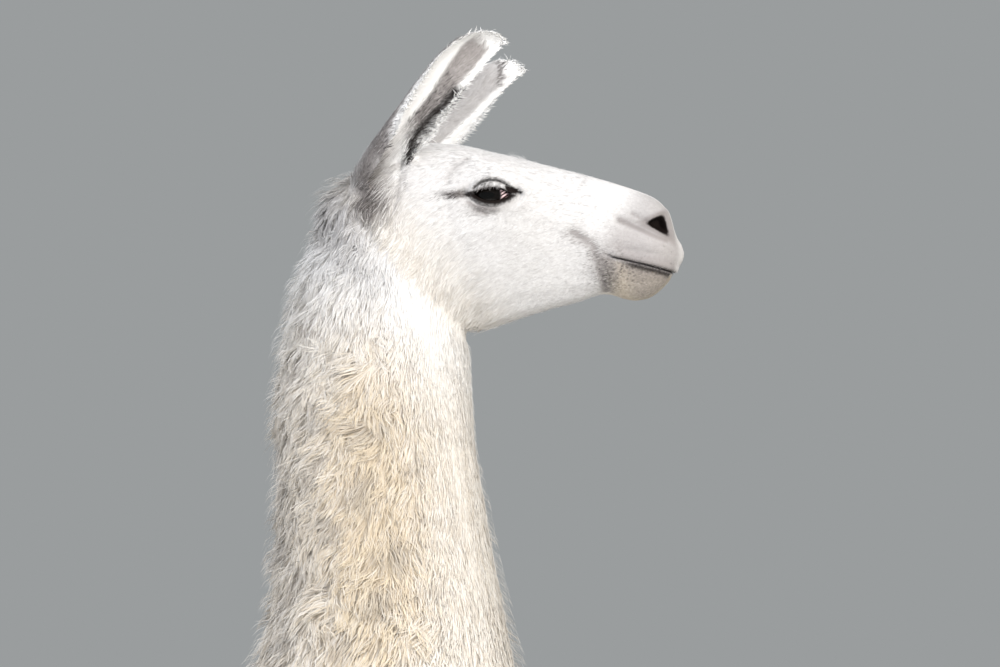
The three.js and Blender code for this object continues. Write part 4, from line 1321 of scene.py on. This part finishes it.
@once
def horn_material():
    """Toe nail: grey-brown horn with fine growth lines along it, worn satin."""
    made, tree, shader = material("toe horn")
    place_on = node(tree, "ShaderNodeTexCoord")
    lengthways, across = pattern_scale(17), pattern_scale(2)
    stretch = (lengthways, across, across)
    streak = node(tree, "ShaderNodeMapping", Vector=place_on.outputs["Object"], Scale=stretch)
    lines = node(tree, "ShaderNodeTexNoise", Vector=streak.outputs["Vector"], Scale=1.0, Detail=4.0)
    dark, light = colour("2e2620"), colour("7d6c5a")
    base = node(tree, "ShaderNodeMix", BLEND, i0=lines.outputs["Fac"], i6=dark, i7=light)
    tree.links.new(base.outputs[2], shader.inputs["Base Color"])
    bump = node(tree, "ShaderNodeBump", Strength=0.4, Distance=0.0005, Height=lines.outputs["Fac"])
    tree.links.new(bump.outputs["Normal"], shader.inputs["Normal"])
    shader.inputs["Roughness"].default_value = 0.45
    return made


@once
def floor_material():
    """Painted studio floor: pale, matt and slightly uneven; far off it fades into the backdrop,
    glowing in the backdrop's colour as painted light.
    """
    made, tree, shader = material("painted floor")
    place_on = node(tree, "ShaderNodeTexCoord")
    wide = pattern_scale(330)
    worn = node(tree, "ShaderNodeTexNoise", Vector=place_on.outputs["Object"], Scale=wide, Detail=2.0)
    dull, clean = colour("cfcdc8"), colour("d8d6d1")
    base = node(tree, "ShaderNodeMix", BLEND, i0=worn.outputs["Fac"], i6=dull, i7=clean)
    # painted light: far off the floor glows with the backdrop's colour in place of light falling on it
    far = node(tree, "ShaderNodeVectorMath", {"operation": "LENGTH"}, i0=place_on.outputs["Object"])
    fade = node(tree, "ShaderNodeMapRange", i0=far.outputs["Value"], i1=2.5, i2=11.0).outputs[0]
    base = node(tree, "ShaderNodeMix", BLEND, i0=fade, i6=base.outputs[2], i7=colour("000000"))
    tree.links.new(base.outputs[2], shader.inputs["Base Color"])
    shader.inputs["Emission Color"].default_value = (*bpy.context.scene.llama_stage.backdrop, 1)
    tree.links.new(fade, shader.inputs["Emission Strength"])
    shader.inputs["Roughness"].default_value = 0.7
    return made


# ---- settings ----


def colour_setting(name, description, code):
    """A colour that a user can change, with an sRGB hex code as its default."""
    return FloatVectorProperty(
        name=name, description=description, subtype="COLOR", default=colour(code)[:3], min=0, max=1,
    )


class LlamaCoatSettings(bpy.types.PropertyGroup):
    fullness: FloatProperty(
        name="Fullness", description="How many locks grow, as a share", default=1.0, min=0.1, max=2,
    )
    length: FloatProperty(
        name="Length", description="How long the locks are, as a share", default=1.0, min=0.3, max=2,
    )
    white: colour_setting("White", "Hair with no marks", "f8f7f5")
    cream: colour_setting("Cream", "Wool of the neck and body", "e6d6bb")
    # grey and dark also carry painted shade: in the face's creases, round the eye and mouth, in the
    # nostrils, on and below the ears
    grey: colour_setting("Grey", "Lips, ears and the folds of the face", "8d8784")
    bare: colour_setting("Bare", "Skin of the muzzle and the ears' hollows", "b0a8a5")
    dark: colour_setting("Dark", "Lids, nostrils, the mouth's line and the streaks in the ears", "191311")


class LlamaFaceSettings(bpy.types.PropertyGroup):
    gaze: FloatProperty(
        name="Gaze", description="How far back the eyes look from straight out to the side",
        default=0.2, subtype="ANGLE",
    )


class LlamaStageSettings(bpy.types.PropertyGroup):
    azimuth: FloatProperty(
        name="Azimuth", description="How far the camera stands round from the right side",
        default=math.radians(4), subtype="ANGLE",
    )
    elevation: FloatProperty(
        name="Elevation", description="How far the camera stands above the neck, as an angle",
        default=math.radians(-3), subtype="ANGLE",
    )
    distance: FloatProperty(
        name="Distance", description="From the camera to the neck", default=5.0, unit="LENGTH",
    )
    lens: FloatProperty(
        name="Lens", description="The camera's focal length in millimetres", default=180.0,
    )
    key: FloatProperty(
        name="Key light", description="The main light's power in watts", default=158.0, unit="POWER",
    )
    backdrop: colour_setting("Backdrop", "The colour behind the animal", "9a9d9e")


# ---- operators ----


class LLAMA_OT_skin(bpy.types.Operator):
    """Make the skin in place of the solids of flesh"""

    bl_idname = "llama.skin"
    bl_label = "Skin"

    def execute(self, context):
        make_skin()
        return {"FINISHED"}


class LLAMA_OT_eyes(bpy.types.Operator):
    """Make both eyeballs and their lashes"""

    bl_idname = "llama.eyes"
    bl_label = "Eyes and lashes"

    def execute(self, context):
        for side in SIDES:
            make_eye(side)
            make_lashes(side)
        return {"FINISHED"}


class LLAMA_OT_nails(bpy.types.Operator):
    """Make the eight toe nails"""

    bl_idname = "llama.nails"
    bl_label = "Nails"

    def execute(self, context):
        for name in sorted(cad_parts):
            if name.startswith("nail_"):
                make_nail(name)
        return {"FINISHED"}


class LLAMA_OT_face_hair(bpy.types.Operator):
    """Grow the short hair of the head and ears"""

    bl_idname = "llama.face_hair"
    bl_label = "Face and ear hair"

    def execute(self, context):
        grow("face_hair", ("face", "cheek"), 11, form="short", trim=True)
        grow("ear_hair", ("ear", "rim"), 12, form="short")
        return {"FINISHED"}


class LLAMA_OT_neck_wool(bpy.types.Operator):
    """Grow the matted wool of the neck"""

    bl_idname = "llama.neck_wool"
    bl_label = "Neck wool"

    def execute(self, context):
        grow("nape_wool", ("nape",), 21, form="short")
        grow("throat_wool", ("throat",), 22, form="short")
        return {"FINISHED"}


class LLAMA_OT_body_wool(bpy.types.Operator):
    """Grow the long fleece of the trunk and tail"""

    bl_idname = "llama.body_wool"
    bl_label = "Fleece"

    def execute(self, context):
        grow("fleece", ("back",), 31)
        grow("tail_wool", ("tail",), 32)
        return {"FINISHED"}


class LLAMA_OT_leg_hair(bpy.types.Operator):
    """Grow the hair of the legs and feet"""

    bl_idname = "llama.leg_hair"
    bl_label = "Leg hair"

    def execute(self, context):
        grow("leg_wool", ("thigh",), 41, form="short")
        grow("shank_hair", ("shank",), 42, form="short")
        grow("foot_hair", ("foot",), 43, form="short")
        return {"FINISHED"}


class LLAMA_OT_stage(bpy.types.Operator):
    """Set the floor, the lights and the camera"""

    bl_idname = "llama.stage"
    bl_label = "Stage"

    def execute(self, context):
        make_stage(context.scene)
        return {"FINISHED"}


def add_light(scene, name, at, towards, size, power, tint):
    """An area light that shines from one place towards another."""
    data = bpy.data.lights.new(name, "AREA")
    data.size = size
    data.energy = power
    data.color = colour(tint)[:3]
    obj = bpy.data.objects.new(name, data)
    obj.location = at
    obj.rotation_euler = (towards - at).to_track_quat("-Z", "Y").to_euler()
    obj.visible_glossy = name == "glint"  # the one light that shows in the eyes
    scene.collection.objects.link(obj)


def add_camera(scene, target):
    """The camera, which looks at the target from the side that the settings give."""
    stage = scene.llama_stage
    data = bpy.data.cameras.new("camera")
    data.sensor_width = 36
    data.lens = stage.lens
    data.clip_end = 100
    camera = bpy.data.objects.new("camera", data)
    a, e = stage.azimuth, stage.elevation
    back = Vector((math.sin(a) * math.cos(e), -math.cos(a) * math.cos(e), math.sin(e)))
    camera.location = target + back * stage.distance
    camera.rotation_euler = (-back).to_track_quat("-Z", "Y").to_euler()
    scene.collection.objects.link(camera)
    scene.camera = camera


def make_stage(scene):
    """The floor, the lights, an even backdrop and the camera."""
    stage = scene.llama_stage
    made = bmesh.new()
    bmesh.ops.create_circle(made, cap_ends=True, segments=96, radius=FLOOR_RADIUS)
    mesh = bpy.data.meshes.new("floor")
    made.to_mesh(mesh)
    made.free()
    mesh.materials.append(floor_material())
    floor = bpy.data.objects.new("floor", mesh)
    scene.collection.objects.link(floor)
    aims = {"neck": Vector(ORIGIN) + Vector(NECK_AIM) * MM, "body": Vector(BODY_AIM)}
    for name, (aim, away, size, share, tint) in LIGHTS.items():
        add_light(scene, name, aims[aim] + Vector(away), aims[aim], size, stage.key * share, tint)
    world = bpy.data.worlds.new("studio")
    world.use_nodes = True
    background = world.node_tree.nodes["Background"]
    background.inputs["Color"].default_value = (*stage.backdrop, 1)
    background.inputs["Strength"].default_value = 1.0
    scene.world = world
    scene.view_settings.view_transform = "Standard"
    add_camera(scene, aims["neck"])


class LLAMA_PT_panel(bpy.types.Panel):
    """The llama's pieces, in the order that they are made"""

    bl_idname = "LLAMA_PT_panel"
    bl_label = "Llama"
    bl_space_type = "VIEW_3D"
    bl_region_type = "UI"
    bl_category = "Llama"

    def draw(self, context):
        layout = self.layout
        for settings in (context.scene.llama_coat, context.scene.llama_face, context.scene.llama_stage):
            for key in settings.__annotations__:
                layout.prop(settings, key)
        for operator in OPERATORS:
            layout.operator(operator.bl_idname)


OPERATORS = (
    LLAMA_OT_skin,
    LLAMA_OT_eyes,
    LLAMA_OT_nails,
    LLAMA_OT_face_hair,
    LLAMA_OT_neck_wool,
    LLAMA_OT_body_wool,
    LLAMA_OT_leg_hair,
    LLAMA_OT_stage,
)
SETTINGS = {
    "llama_coat": LlamaCoatSettings,
    "llama_face": LlamaFaceSettings,
    "llama_stage": LlamaStageSettings,
}


def register():
    for kind in (*SETTINGS.values(), *OPERATORS, LLAMA_PT_panel):
        bpy.utils.register_class(kind)
    for name, kind in SETTINGS.items():
        setattr(bpy.types.Scene, name, PointerProperty(type=kind))


def unregister():
    for name in SETTINGS:
        delattr(bpy.types.Scene, name)
    for kind in reversed((*SETTINGS.values(), *OPERATORS, LLAMA_PT_panel)):
        bpy.utils.unregister_class(kind)


def main():
    register()
    for operator in OPERATORS:
        group, name = operator.bl_idname.split(".")
        getattr(getattr(bpy.ops, group), name)()


if __name__ == "__main__":
    main()
